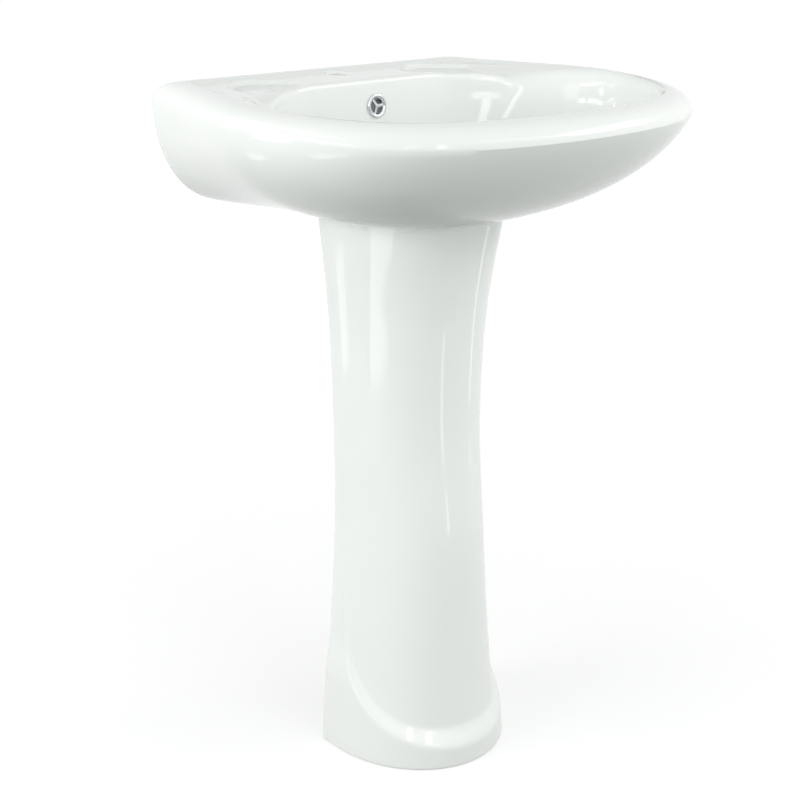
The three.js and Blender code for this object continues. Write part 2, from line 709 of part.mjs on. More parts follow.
// Slip-joint nut over a socket whose mouth is at `mouth`, with its cone washer inside.
function slipNut(mouth) {
  const lip = mouth + coneHeight + 2 * fitGap;
  const bottom = lip + nutLip - nutHeight;
  return hexagon(nutDiameter, bottom, lip + nutLip)
    .subtract(rod(socketRadius + slideGap, bottom - 1, lip))
    .subtract(rod(tubeSocket, lip - 1, lip + nutLip + 1));
}
const coneWasher = (mouth) => turned([[tubeSocket, mouth + fitGap],
  [socketRadius - 0.8, mouth + fitGap], [socketRadius, mouth + 2],
  [socketRadius, mouth + fitGap + coneHeight], [tubeSocket, mouth + fitGap + coneHeight]]);

function trapArm() {
  const turnZ = outletTop + coneHeight + nutLip + armRise;
  return pipe([
    [outletY, outletTop - armInsert, quarter],
    ...elbow(outletY + armBend, turnZ, armBend, Math.PI, quarter, 6),
    [outletY + armBend + armReach, turnZ + armBend, 0],
  ], tubeRadius, tubeBore);
}

// ---- Assembly ----------------------------------------------------------------------------

const finishes = {
  china: { color: '#eef1ee', roughness: 0.08, metalness: 0 },
  chrome: { color: '#d9dcdf', roughness: 0.08, metalness: 1 },
  brass: { color: '#c9a562', roughness: 0.3, metalness: 1 },
  rubber: { color: '#26272a', roughness: 0.8, metalness: 0 },
  nylon: { color: '#e4e2d8', roughness: 0.5, metalness: 0 },
  steel: { color: '#9da1a5', roughness: 0.3, metalness: 1 },
};

function piece(name, body, finish) {
  const mesh = new THREE.Mesh(geometryOf(body), new THREE.MeshStandardMaterial(finishes[finish]));
  mesh.name = name;
  return mesh;
}

const sink = new THREE.Group();
sink.add(piece('basin', basin(), 'china'), piece('column', column(), 'china'));

const overflowGroup = new THREE.Group();
overflowGroup.position.set(0, overflow.y, overflow.z);
overflowGroup.rotation.x = Math.PI / 2 - overflow.tilt;
overflowGroup.add(piece('overflow_cover', overflowCover(), 'chrome'),
  piece('overflow_sleeve', overflowSleeve(), 'nylon'));

const waste = new THREE.Group();
waste.position.set(0, drainY, seatZ);
waste.add(
  piece('waste_flange_seal', flangeSeal(), 'rubber'),
  piece('waste_body', wasteBody(), 'chrome'),
  piece('waste_taper_gasket', taperGasket(), 'rubber'),
  piece('waste_friction_washer', frictionWasher(), 'nylon'),
  piece('waste_locknut', locknut(), 'brass'),
  piece('stopper_cartridge', stopperCartridge(), 'nylon'),
  piece('stopper_spring', stopperSpring(), 'steel'),
  piece('tailpiece', tailpiece(), 'chrome'),
  piece('trap_inlet_nut', slipNut(inletTop), 'chrome'),
  piece('trap_inlet_washer', coneWasher(inletTop), 'rubber'),
  piece('trap_bend', jBend(), 'chrome'),
  piece('trap_arm', trapArm(), 'chrome'),
);

const trapOutlet = new THREE.Group();
trapOutlet.position.set(0, outletY, 0);
trapOutlet.add(piece('trap_outlet_nut', slipNut(outletTop), 'chrome'),
  piece('trap_outlet_washer', coneWasher(outletTop), 'rubber'));

const stopper = new THREE.Group(); // slides straight up by stopperTravel
stopper.add(piece('stopper_cap', stopperCap(), 'chrome'),
  piece('stopper_seal', stopperSeal(), 'rubber'),
  piece('stopper_stem', stopperStem(), 'steel'));
waste.add(trapOutlet, stopper);
sink.add(overflowGroup, waste);

export default sink;
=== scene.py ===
import json
import math

import bmesh
import bpy
import numpy as np
from mathutils import Matrix, Vector
from mathutils.bvhtree import BVHTree


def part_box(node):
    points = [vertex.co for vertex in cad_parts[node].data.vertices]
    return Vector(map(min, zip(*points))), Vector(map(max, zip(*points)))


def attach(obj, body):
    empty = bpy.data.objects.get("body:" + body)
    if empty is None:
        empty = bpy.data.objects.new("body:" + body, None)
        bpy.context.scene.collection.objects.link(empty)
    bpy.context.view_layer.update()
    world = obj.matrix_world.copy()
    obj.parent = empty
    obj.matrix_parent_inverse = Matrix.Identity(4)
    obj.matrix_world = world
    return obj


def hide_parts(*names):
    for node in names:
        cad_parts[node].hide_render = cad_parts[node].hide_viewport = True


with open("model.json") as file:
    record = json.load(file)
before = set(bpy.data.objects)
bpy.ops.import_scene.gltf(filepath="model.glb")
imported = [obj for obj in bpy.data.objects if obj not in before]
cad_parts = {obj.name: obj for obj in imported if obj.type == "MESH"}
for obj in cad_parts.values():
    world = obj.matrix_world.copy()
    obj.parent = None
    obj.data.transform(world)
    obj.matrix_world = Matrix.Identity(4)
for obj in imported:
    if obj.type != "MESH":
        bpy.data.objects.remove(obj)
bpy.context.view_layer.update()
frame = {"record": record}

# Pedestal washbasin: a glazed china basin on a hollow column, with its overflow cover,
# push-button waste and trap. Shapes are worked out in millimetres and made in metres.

MM = 0.001
SHARP = math.radians(32)

# ---- Dimensions of the china, as in the CAD ----------------------------------------------

basin_low, basin_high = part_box("basin")
WIDTH = (basin_high.x - basin_low.x) / MM
RIM = basin_high.z / MM
WALL_Y = basin_high.y / MM
FRONT_Y = basin_low.y / MM
WALL_PANEL, WALL_PANEL_FOOT = 452, 302
WIDEST_Y = WALL_Y - 247
REAR_CORNER = 18
RIM_ROLL, BACK_ROLL, ROLL_DROP = 29, 38, 22
FRONT_DROP = 8
LEAN_START = WIDEST_Y + 60
DECK_SINK, DECK_SINK_RUN = 3.8, 70
UNDERSIDE_Z = RIM - 142
UNDER_WIDTH, UNDER_FROM_FRONT = 166, 164
RIM_WIDTH = 40
BOWL_FLOOR = RIM - 133
LEDGE_Y = WALL_Y - 133
LEDGE_HALF = 92
BOWL_WIDEST_Y = WALL_Y - 272
LIP_DROP, LIP_WIDTH, LEDGE_LIP = 12, 10, 6
CHINA, DECK = 9, 18
DRAIN_Y = WALL_Y - 225
SEAT_Z = BOWL_FLOOR - 4
BOSS_RADIUS, BOSS_BOTTOM = 44, SEAT_Z - 38
WASTE_HOLE, SEAT_RADIUS = 46, 34
TAP_HOLE, TAP_Y = 35, WALL_Y - 68
BOLT_HOLE, BOLT_X, BOLT_Z = 14, 140, RIM - 88
HAND_HOLE = 190
OVERFLOW_HOLE, OVERFLOW_DROP, COVER_RADIUS = 23, 35, 14
CHANNEL_RADIUS, CHANNEL_WALL = 8.5, 5
WINDOW_DROP, WINDOW_WIDTH, WINDOW_HEIGHT = 20, 12, 15


# ---- Small tools -------------------------------------------------------------------------


def linear(code):
    """sRGB hex to the linear RGBA that Blender's colours use."""
    channels = [int(code[i : i + 2], 16) / 255 for i in (1, 3, 5)]
    return tuple(
        c / 12.92 if c <= 0.04045 else ((c + 0.055) / 1.055) ** 2.4 for c in channels
    ) + (1.0,)


def smooth(x, low, high):
    t = np.clip((x - low) / (high - low), 0, 1)
    return t * t * (3 - 2 * t)


def mix(a, b, t):
    return a + (b - a) * t


def bezier(corners, count):
    """Count + 1 points of a cubic through its four corners."""
    t = np.linspace(0, 1, count + 1)[:, None]
    a, b, c, d = (np.array(p, float) for p in corners)
    return (1 - t) ** 3 * a + 3 * (1 - t) ** 2 * t * b + 3 * (1 - t) * t**2 * c + t**3 * d


def line(a, b, count):
    return np.linspace(a, b, count + 1)


def resample(points, count):
    """Evenly spaced points along each column of points[level, around, xyz]."""
    steps = np.linalg.norm(np.diff(points, axis=0), axis=2)
    run = np.vstack([np.zeros(points.shape[1]), np.cumsum(steps, axis=0)])
    out = np.empty((count, *points.shape[1:]))
    for i in range(points.shape[1]):
        at = np.linspace(0, run[-1, i], count)
        for k in range(3):
            out[:, i, k] = np.interp(at, run[:, i], points[:, i, k])
    return out


def shaded(mesh):
    """Smooth shading, with the edges sharper than SHARP left crisp."""
    mesh.shade_smooth()
    mesh.set_sharp_from_angle(angle=SHARP)


def finished(bm, name):
    """Makes a bmesh into an object of the scene."""
    bmesh.ops.recalc_face_normals(bm, faces=bm.faces)
    mesh = bpy.data.meshes.new(name)
    bm.to_mesh(mesh)
    bm.free()
    shaded(mesh)
    obj = bpy.data.objects.new(name, mesh)
    bpy.context.scene.collection.objects.link(obj)
    return obj


def draped(levels, mirror=True):
    """A grid pulled onto levels[level, around, xyz] in millimetres, mirrored across X = 0."""
    rows, around = levels.shape[:2]
    bm = bmesh.new()
    made = bmesh.ops.create_grid(bm, x_segments=around - 1, y_segments=rows - 1, size=1)
    for v in made["verts"]:
        i = round((v.co.x + 1) / 2 * (around - 1))
        j = round((v.co.y + 1) / 2 * (rows - 1))
        v.co = levels[j, i] * MM
    if mirror:
        geom = list(bm.verts) + list(bm.edges) + list(bm.faces)
        bmesh.ops.mirror(bm, geom=geom, axis="X", merge_dist=1e-5)
    bmesh.ops.remove_doubles(bm, verts=bm.verts, dist=1e-6)
    bmesh.ops.dissolve_degenerate(bm, edges=bm.edges, dist=1e-7)
    return bm


def capped(bm):
    """Closes the open ends of a draped surface."""
    rims = [e for e in bm.edges if e.is_boundary]
    bmesh.ops.holes_fill(bm, edges=rims, sides=0)
    return bm


def spun(profile, centre=(0, 0), steps=96, bevel=0.0):
    """Body of revolution about a vertical axis from closed [radius, height] pairs."""
    bm = bmesh.new()
    ring = [bm.verts.new((r * MM, 0, z * MM)) for r, z in profile]
    closed = profile[0][0] > 0 or profile[-1][0] > 0
    for a, b in zip(ring, ring[1:] + ring[: int(closed)]):
        bm.edges.new((a, b))
    bmesh.ops.spin(
        bm, geom=list(bm.verts) + list(bm.edges), cent=(0, 0, 0), axis=(0, 0, 1),
        angle=2 * math.pi, steps=steps, use_merge=True,
    )
    bmesh.ops.remove_doubles(bm, verts=bm.verts, dist=1e-6)
    bmesh.ops.dissolve_degenerate(bm, edges=bm.edges, dist=1e-7)
    bmesh.ops.recalc_face_normals(bm, faces=bm.faces)
    if bevel:
        round_edges(bm, bevel)
    bmesh.ops.translate(bm, verts=bm.verts, vec=(centre[0] * MM, centre[1] * MM, 0))
    return bm


def round_edges(bm, size, segments=3, angle=30):
    limit = math.radians(angle)
    sharp = [e for e in bm.edges if len(e.link_faces) == 2 and e.calc_face_angle() > limit]
    bmesh.ops.bevel(
        bm, geom=sharp, offset=size * MM, offset_type="OFFSET", segments=segments,
        profile=0.5, affect="EDGES", material=-1, clamp_overlap=True,
    )


def evaluated(obj):
    """New mesh of an object with its modifiers and curve settings applied."""
    bpy.context.view_layer.update()
    graph = bpy.context.evaluated_depsgraph_get()
    return bpy.data.meshes.new_from_object(obj.evaluated_get(graph))


def combined(body, others, operation):
    """Body joined with or cut by the others, one after another; they are used up."""
    for other in others:
        cut = body.modifiers.new("cut", "BOOLEAN")
        cut.operation = operation
        cut.solver = "EXACT"
        cut.object = other
        mesh = evaluated(body)
        body.modifiers.remove(cut)
        old = body.data
        body.data = mesh
        mesh.name = body.name
        bpy.data.meshes.remove(old)
        bpy.data.objects.remove(other)
    shaded(body.data)
    return body


def sealed(body):
    """Closes the hairline gaps that cutting can leave."""
    bm = bmesh.new()
    bm.from_mesh(body.data)
    bmesh.ops.remove_doubles(bm, verts=bm.verts, dist=4e-6)
    bmesh.ops.dissolve_degenerate(bm, edges=bm.edges, dist=4e-6)
    bmesh.ops.holes_fill(bm, edges=[e for e in bm.edges if e.is_boundary], sides=0)
    bm.to_mesh(body.data)
    bm.free()
    shaded(body.data)
    return body


# ---- The basin's surface -----------------------------------------------------------------

# Stretches of a half outline, from the middle of the back to the middle of the front
BACK, CORNER, SIDE, FRONT = 60, 8, 80, 66


def front_curve(half, widest, front, count):
    shoulder = widest - 0.59 * (widest - front)
    return bezier([(half, widest), (half, shoulder), (0.75 * half, front), (0, front)], count)


def basin_half(o, counts=(BACK, CORNER, SIDE, FRONT)):
    """Right half of the basin's outline, with the sizes that outside() gives."""
    turn = o["back"] - o["corner"]
    inner = o["back_half"] - o["corner"]
    run = turn - o["widest"]
    a = np.linspace(math.pi / 2, 0, counts[1] + 1)
    corner = np.stack([inner + o["corner"] * np.cos(a), turn + o["corner"] * np.sin(a)], 1)
    side = bezier(
        [
            (o["back_half"], turn),
            (o["back_half"], turn - 0.2 * run),
            (o["half"], o["widest"] + 0.2 * run),
            (o["half"], o["widest"]),
        ],
        counts[2],
    )
    back = line((0, o["back"]), (inner, o["back"]), counts[0])
    front = front_curve(o["half"], o["widest"], o["front"], counts[3])
    return np.vstack([back[:-1], corner[:-1], side[:-1], front])


def bowl_half(o, counts=(BACK, CORNER, SIDE, FRONT)):
    """Right half of the bowl's outline, with the sizes that bowl_wall() gives."""
    ledge = line((0, o["back"]), (o["back_half"], o["back"]), counts[0] // 2)
    side = bezier(
        [
            (o["back_half"], o["back"]),
            (mix(o["back_half"], o["half"], 0.42), o["back"]),
            (o["half"], mix(o["widest"], o["back"], 0.34)),
            (o["half"], o["widest"]),
        ],
        counts[0] - counts[0] // 2 + counts[1] + counts[2],
    )
    front = front_curve(o["half"], o["widest"], o["front"], counts[3])
    return np.vstack([ledge[:-1], side[:-1], front])


def lean(y):
    """How far the rim falls towards the front."""
    return FRONT_DROP * smooth(LEAN_START - y, 0, LEAN_START - FRONT_Y)


def curl(t, along, across):
    """Share of the way in at a share t of the way down a rounded wall."""
    return 1 - (1 - t**along) ** (1 / across)


FULL_DROP = 0.963
SIDE_CURL, NOSE_CURL = (1.94, 3.14), (1.1, 2.37)
BOWL_CURLS = (2.2, 2.2), (2, 2), (1.6, 3)


def outside(t, inset=0.0):
    """Sizes of the basin's outside, from under the rim at t = 0 to its underside at 1."""
    side, nose = (curl(t * FULL_DROP, *c) / curl(FULL_DROP, *c) for c in (SIDE_CURL, NOSE_CURL))
    return {
        "back": WALL_Y - inset,
        "back_half": mix(WALL_PANEL, WALL_PANEL_FOOT, side) / 2 - inset,
        "corner": REAR_CORNER,
        "half": mix(WIDTH, UNDER_WIDTH, side) / 2 - inset,
        "widest": WIDEST_Y,
        "front": FRONT_Y + UNDER_FROM_FRONT * nose + inset,
    }


def bowl_wall(t, outset=0.0):
    """Sizes of the bowl, from its edge at t = 0 to its floor at 1."""
    flat = BOSS_RADIUS - CHINA
    side, nose, rear = (curl(t * 0.995, *c) for c in BOWL_CURLS)
    return {
        "back": mix(LEDGE_Y, DRAIN_Y + flat, rear) + outset,
        "back_half": mix(LEDGE_HALF, flat / 4, side) + outset / 2,
        "half": mix(WIDTH / 2 - RIM_WIDTH, flat, side) + outset,
        "widest": mix(BOWL_WIDEST_Y, DRAIN_Y, nose),
        "front": mix(FRONT_Y + RIM_WIDTH, DRAIN_Y - flat, nose) - outset,
    }


def level(half, z):
    """Outline points with a height, which may be a number or one per point."""
    return np.column_stack([half, np.broadcast_to(z, len(half))])


# Soap hollow on the right: its edge, from the end near the tap round the back to the rim's
# inner edge at the side, then through the bowl, where it has no effect.
HOLLOW_EDGE = [
    (78, 140), (77, 150), (83, 164), (96, 178), (114, 189), (134, 193), (152, 186), (168, 167),
    (180, 146), (190, 122), (205, 95), (219, 62), (230, 25), (238, -20), (180, -60), (60, -60),
    (60, 40), (92, 84), (84, 124),
]
HOLLOW_DEPTH, HOLLOW_DEEPENS = 5, (135, 190)
SHELF_DROP, SHELF_RUN = 8, (55, 125)
HOLLOW_SLOPE, SLOPE_WIDENS = (6, 35), (-150, -105)
HOLLOW_END = -60, 40
# Where the lip between hollow and bowl is rounded off: across, in front and behind
SOFT_SIDE, SOFT_FRONT, SOFT_REAR = (168, 205), (-90, 10), (112, 140)
SOFT_ROUNDS = 120


def edge_distance(xy, corners):
    """Distance from each point to a closed polygon, positive inside."""
    a = np.array(corners, float)
    b = np.roll(a, -1, axis=0)
    best = np.full(len(xy), 1e9)
    inside = np.zeros(len(xy), bool)
    for p, q in zip(a, b):
        d = q - p
        t = np.clip(((xy - p) @ d) / (d @ d), 0, 1)
        best = np.minimum(best, np.linalg.norm(xy - p - t[:, None] * d, axis=1))
        spans = (p[1] > xy[:, 1]) != (q[1] > xy[:, 1])
        if spans.any():
            cross = p[0] + (xy[:, 1] - p[1]) / (q[1] - p[1] + 1e-12) * d[0]
            inside ^= spans & (xy[:, 0] < cross)
    return np.where(inside, best, -best)


def rounded_polygon(corners, count=12):
    """Closed uniform cubic B-spline through the middle of a polygon's corners."""
    p = np.array(corners, float)
    out = []
    for i in range(len(p)):
        a, b, c, d = (p[(i + k) % len(p)] for k in range(-1, 3))
        for t in np.linspace(0, 1, count, endpoint=False):
            near = (1 - t) ** 3 * a + (3 * t**3 - 6 * t**2 + 4) * b
            out.append((near + (-3 * t**3 + 3 * t**2 + 3 * t + 1) * c + t**3 * d) / 6)
    return np.array(out)


hollow_outline = rounded_polygon(HOLLOW_EDGE, 5)


def sunk(xy):
    """How far the deck lies under its plane at each point of the right half."""
    distance = edge_distance(xy, hollow_outline)
    x, y = xy[:, 0], xy[:, 1]
    width = mix(*HOLLOW_SLOPE, smooth(-y, *SLOPE_WIDENS))
    into = smooth(distance, 0, width)
    forward, rearward = 0.8 * x - 0.6 * y, 0.5 * x + 0.87 * y
    depth = HOLLOW_DEPTH * (0.45 + 0.55 * smooth(rearward, *HOLLOW_DEEPENS))
    depth += SHELF_DROP * smooth(forward, *SHELF_RUN)
    return into * depth * smooth(y, *HOLLOW_END)


def settle(y):
    """How far the tap deck lies under the rim round it."""
    return DECK_SINK * smooth(y, 0, DECK_SINK_RUN)


def blended(rows):
    """Rows from the rim's crest down to the bowl's floor, with the lip between the soap hollow
    and the bowl rounded off until one flows into the other."""
    x, y = rows[..., 0], rows[..., 1]
    soft = smooth(x, *SOFT_SIDE) * smooth(y, *SOFT_FRONT) * (1 - smooth(y, *SOFT_REAR))
    for _ in range(SOFT_ROUNDS):
        middle = (rows[:-2] + rows[2:]) / 2 - rows[1:-1]
        rows[1:-1] += 0.5 * soft[1:-1, :, None] * middle
    return rows


OUTSIDE_ROWS, ROLL_ROWS, INSIDE_ROWS = 36, 16, 114
DECK_EDGE = 2, 20
LEDGE_SQUARE, LEDGE_RUN = 0.7, (20, 90)


def basin_levels():
    """The whole skin: up the outside, over the rim, across the deck and down the bowl."""
    top_z = RIM - ROLL_DROP
    under = outside(1)
    foot = basin_half(under)
    centre = np.array([0, (under["back"] + under["front"]) / 2])
    levels = [level(mix(centre, foot, s), UNDERSIDE_Z) for s in (0, 0.3, 0.6, 0.85, 0.97)]
    body = []
    for t in 1 - np.linspace(0, 1, 60) ** 1.3:
        half = basin_half(outside(t))
        body.append(level(half, mix(top_z, UNDERSIDE_Z, t) - lean(half[:, 1]) * (1 - t)))
    levels += list(resample(np.array(body), OUTSIDE_ROWS))

    roll_rows = []
    for angle in np.linspace(0, math.pi / 2, 24):
        roll = 1 - math.cos(angle)
        o = outside(0)
        o["back"] -= BACK_ROLL * roll
        o["back_half"] -= 0.6 * RIM_ROLL * roll
        o["half"] -= RIM_ROLL * roll
        o["front"] += RIM_ROLL * roll
        half = basin_half(o)
        roll_rows.append(level(half, top_z + ROLL_DROP * math.sin(angle) - lean(half[:, 1])))
    levels += list(resample(np.array(roll_rows), ROLL_ROWS)[1:])
    crest = roll_rows[-1][:, :2]
    mouth = bowl_wall(0)
    edge = bowl_half(mouth)
    mouth["back"] += LEDGE_LIP
    mouth["half"] += LIP_WIDTH
    mouth["front"] -= LIP_WIDTH
    lip = bowl_half(mouth)
    width = np.linalg.norm(lip - crest, axis=1)
    settled = smooth(width, *DECK_EDGE) * settle(lip[:, 1])
    inner = []
    for s in np.linspace(0, 1, 90)[:-1]:
        half = mix(crest, lip, s)
        sink = smooth(s * width, *DECK_EDGE) * settle(half[:, 1])
        inner.append(level(half, RIM - lean(half[:, 1]) - sink))
    square = 1 / (1 + LEDGE_SQUARE * smooth(edge[:, 1], *LEDGE_RUN))
    for angle in np.linspace(math.pi / 2, 0, 22):
        away = (1 - max(math.cos(angle), 0) ** square)[:, None]
        half = edge + (lip - edge) * away
        z = RIM - LIP_DROP * (1 - math.sin(angle) ** square) - lean(half[:, 1]) - settled
        inner.append(level(half, z))
    for row in inner:
        row[:, 2] -= sunk(row[:, :2])
    for t in np.linspace(0, 1, 120)[1:] ** 1.2:
        half = bowl_half(bowl_wall(t))
        z = mix(RIM - LIP_DROP, BOWL_FLOOR, t) - lean(half[:, 1]) * (1 - t)
        inner.append(level(half, z - sunk(half) * (1 - t) ** 3 - settled * (1 - t) ** 6))
    levels += list(resample(blended(resample(np.array(inner), 190)), INSIDE_ROWS)[1:])
    bottom = levels[-1][:, :2]
    middle = np.array([0, DRAIN_Y])
    levels += [level(mix(bottom, middle, s), BOWL_FLOOR) for s in (0.3, 0.7, 1)]
    return np.array(levels)


def loft_solid(name, rings):
    return finished(capped(draped(np.array(rings))), name)


def box_solid(name, low, high):
    bm = bmesh.new()
    bmesh.ops.create_cube(bm, size=1)
    low, high = Vector(low) * MM, Vector(high) * MM
    bmesh.ops.scale(bm, verts=bm.verts, vec=high - low)
    bmesh.ops.translate(bm, verts=bm.verts, vec=(low + high) / 2)
    return finished(bm, name)


def pin_solid(name, radius, low, high, centre=(0, 0), steps=64, turn=None):
    bm = spun([(0, low), (radius, low), (radius, high), (0, high)], centre, steps)
    if turn is not None:
        bmesh.ops.transform(bm, verts=bm.verts, matrix=turn)
    return finished(bm, name)


# ---- Washbasin ---------------------------------------------------------------------------

COARSE = (12, 4, 14, 24)


def casting_hollow():
    """The space inside the double-walled casting, open below through the hand hole."""
    top_z = RIM - DECK
    within = []
    for t in (1, 0.95, 0.9, 0.82, 0.73, 0.65, 0.55, 0.45, 0.33, 0.22, 0.1, 0):
        half = basin_half(outside(t, CHINA), COARSE)
        z = mix(top_z, UNDERSIDE_Z + CHINA, t) - lean(half[:, 1]) * (1 - t)
        within.append(level(half, z))
    around = []
    for t in (-0.3, 0, 0.1, 0.2, 0.33, 0.46, 0.57, 0.68, 0.76, 0.84, 0.94, 1):
        half = bowl_half(bowl_wall(max(t, 0), CHINA), COARSE)
        z = mix(RIM - LIP_DROP, BOWL_FLOOR, t) - CHINA - lean(half[:, 1]) * (1 - t)
        around.append(level(half, z))
    hollow = loft_solid("hollow", within)
    hollow = combined(hollow, [loft_solid("around", around)], "DIFFERENCE")
    hand_hole = box_solid(
        "hand_hole",
        (-HAND_HOLE / 2, LEDGE_Y + CHINA + 4, UNDERSIDE_Z - 1),
        (HAND_HOLE / 2, WALL_Y - CHINA, UNDERSIDE_Z + 4 * CHINA),
    )
    hollow = combined(hollow, [hand_hole], "UNION")
    kept = [
        pin_solid("boss", BOSS_RADIUS, BOSS_BOTTOM, SEAT_Z + 2, (0, DRAIN_Y)),
        tube_solid("channel", overflow_path(), CHANNEL_RADIUS + CHANNEL_WALL),
    ]
    return combined(hollow, kept, "DIFFERENCE")


def overflow_seat():
    """Place and tilt of the overflow on the bowl's rear wall."""
    z = RIM - OVERFLOW_DROP
    t = (RIM - LIP_DROP - z) / (RIM - LIP_DROP - BOWL_FLOOR)
    step = 0.02
    fall = 2 * step * (RIM - LIP_DROP - BOWL_FLOOR)
    slope = (bowl_wall(t + step)["back"] - bowl_wall(t - step)["back"]) / fall
    return bowl_wall(t)["back"], z, -math.atan(slope)


overflow_y, overflow_z, overflow_tilt = overflow_seat()
# Turns a body made about Z so that Z points out of the bowl's rear wall
at_overflow = Matrix.Translation(Vector((0, overflow_y, overflow_z)) * MM) @ Matrix.Rotation(
    math.pi / 2 - overflow_tilt, 4, "X"
)


def overflow_path():
    behind = LEDGE_Y + CHINA + CHANNEL_RADIUS
    return [
        (0, overflow_y + CHINA / 2, overflow_z),
        (0, behind, overflow_z - 8),
        (0, behind, mix(overflow_z, BOWL_FLOOR, 0.55)),
        (0, mix(DRAIN_Y, behind, 0.75), BOWL_FLOOR - 2),
        (0, mix(DRAIN_Y, behind, 0.4), SEAT_Z - WINDOW_DROP),
        (0, DRAIN_Y + 11, SEAT_Z - WINDOW_DROP),
    ]


def tube_solid(name, path, radius):
    """Round bar along a smooth curve through the path's points, with capped ends."""
    curve = bpy.data.curves.new(name, "CURVE")
    curve.dimensions = "3D"
    curve.bevel_depth = radius * MM
    curve.bevel_resolution = 6
    curve.use_fill_caps = True
    run = curve.splines.new("NURBS")
    run.points.add(len(path) - 1)
    for p, at in zip(run.points, path):
        p.co = (*(Vector(at) * MM), 1)
    run.order_u = 3
    run.use_endpoint_u = True
    run.resolution_u = 8
    obj = bpy.data.objects.new(name, curve)
    bpy.context.scene.collection.objects.link(obj)
    mesh = evaluated(obj)
    bpy.data.objects.remove(obj)
    bm = bmesh.new()
    bm.from_mesh(mesh)
    bpy.data.meshes.remove(mesh)
    bmesh.ops.remove_doubles(bm, verts=bm.verts, dist=1e-6)
    return finished(bm, name)


def flared(name, radius, low, high, flare, centre):
    """Cutter for a hole whose upper edge is rounded over."""
    a = np.linspace(math.pi / 2, 0.16, 6)
    edge = [(radius + flare * (1 - math.sin(t)), high - flare * (1 - math.cos(t))) for t in a]
    out = edge[-1][0]
    profile = [(0, low), (radius, low), *edge, (out, high + 3), (0, high + 3)]
    return finished(spun(profile, centre, steps=80), name)


def washbasin():
    body = finished(draped(basin_levels()), "washbasin")
    boss = pin_solid("boss", BOSS_RADIUS, BOSS_BOTTOM, SEAT_Z - 1, (0, DRAIN_Y))
    body = combined(body, [boss], "UNION")
    to_wall = Matrix.Rotation(math.pi / 2, 4, "X")
    cutters = [
        flared("tap_hole", TAP_HOLE / 2, RIM - DECK - 1, RIM - DECK_SINK, 2.2, (0, TAP_Y)),
        flared("waste_seat", SEAT_RADIUS, SEAT_Z, BOWL_FLOOR, 3, (0, DRAIN_Y)),
        pin_solid("overflow_hole", OVERFLOW_HOLE / 2, -CHINA - 2, 6, turn=at_overflow),
    ]
    for side in (-1, 1):
        place = Matrix.Translation(Vector((side * BOLT_X, WALL_Y, BOLT_Z)) * MM)
        cutters.append(
            pin_solid("bolt_hole", BOLT_HOLE / 2, -2 * CHINA, 2 * CHINA, turn=place @ to_wall)
        )
    body = combined(body, [casting_hollow()], "DIFFERENCE")
    bore = tube_solid("channel_bore", overflow_path(), CHANNEL_RADIUS)
    body = combined(body, [bore], "DIFFERENCE")
    cutters += [
        pin_solid("cover_seat", COVER_RADIUS + 1, 0, 6, turn=at_overflow),
        pin_solid("waste_hole", WASTE_HOLE / 2, BOSS_BOTTOM - 1, SEAT_Z + 1, (0, DRAIN_Y)),
    ]
    return combined(body, cutters, "DIFFERENCE")


# ---- Column ------------------------------------------------------------------------------

COLUMN_TOP = UNDERSIDE_Z
COLUMN_REAR = WALL_Y - 153
COLUMN_WALL, CHEEK, FLANGE, COLUMN_CORNER = 11, 25, 26, 9
COLUMN_MIDDLE = COLUMN_REAR - CHEEK
SEAT_GAP = 0.4
SEAM_ROUND = 3.5
FOOT_WIDTH, FOOT_FRONT = 221, WALL_Y - 311
PLINTH_STEP, PLINTH_SIDE_STEP = 11, 4
PLINTH_FRONT_HEIGHT, PLINTH_LEAN, PLINTH_BOW, PLINTH_UPRIGHT = 36, 14, 112, COLUMN_REAR - 37
PLINTH_FILLET, PLINTH_SIDE_FILLET = 27, 12
PLINTH_FADE = 90, 152
EAR, EAR_HEIGHT, SCREW_HOLE = 36, 14, 9
# Share of the height, how much narrower than the foot, how far behind its front
COLUMN_PROFILE = [
    (0, 0, 0), (0.07, 3.5, 3), (0.22, 11, 12), (0.42, 20.5, 18.5), (0.62, 21, 30),
    (0.82, 15.5, 23.5), (1, 3, 0),
]


def spline(points, per_span=24):
    """Catmull-Rom spline through the points."""
    p = np.array([points[0], *points, points[-1]], float)
    out = []
    for a, b, c, d in zip(p, p[1:], p[2:], p[3:]):
        t = np.linspace(0, 1, per_span, endpoint=False)[:, None]
        v0, v1 = (c - a) / 2, (d - b) / 2
        out.append(
            (2 * b - 2 * c + v0 + v1) * t**3 + (-3 * b + 3 * c - 2 * v0 - v1) * t**2 + v0 * t + b
        )
    return np.vstack([*out, p[-1:]])


column_run = spline(COLUMN_PROFILE)


def column_half(z, inset=0.0, rear_reach=0.0, corner=None, steps=(14, 8, 12, 74)):
    """Right half of the column's outline at a height, without the plinth's swell."""
    share = min(max(z / COLUMN_TOP, 0), 1)
    half = FOOT_WIDTH / 2 - np.interp(share, column_run[:, 0], column_run[:, 1]) - inset
    front = FOOT_FRONT + np.interp(share, column_run[:, 0], column_run[:, 2]) + inset
    rear = COLUMN_REAR + rear_reach
    if corner is None:
        corner = 1 if rear_reach > 0 else COLUMN_CORNER
    a = np.linspace(math.pi / 2, 0, steps[1] + 1)
    turn = np.stack(
        [half - corner + corner * np.cos(a), rear - corner + corner * np.sin(a)], 1
    )
    a = np.linspace(0, math.pi / 2, steps[3] + 1)
    nose = np.stack([half * np.cos(a), COLUMN_MIDDLE - (COLUMN_MIDDLE - front) * np.sin(a)], 1)
    back = line((0, rear), (half - corner, rear), steps[0])
    side = line((half, rear - corner), (half, COLUMN_MIDDLE), steps[2])
    return np.vstack([back[:-1], turn[:-1], side[:-1], nose])


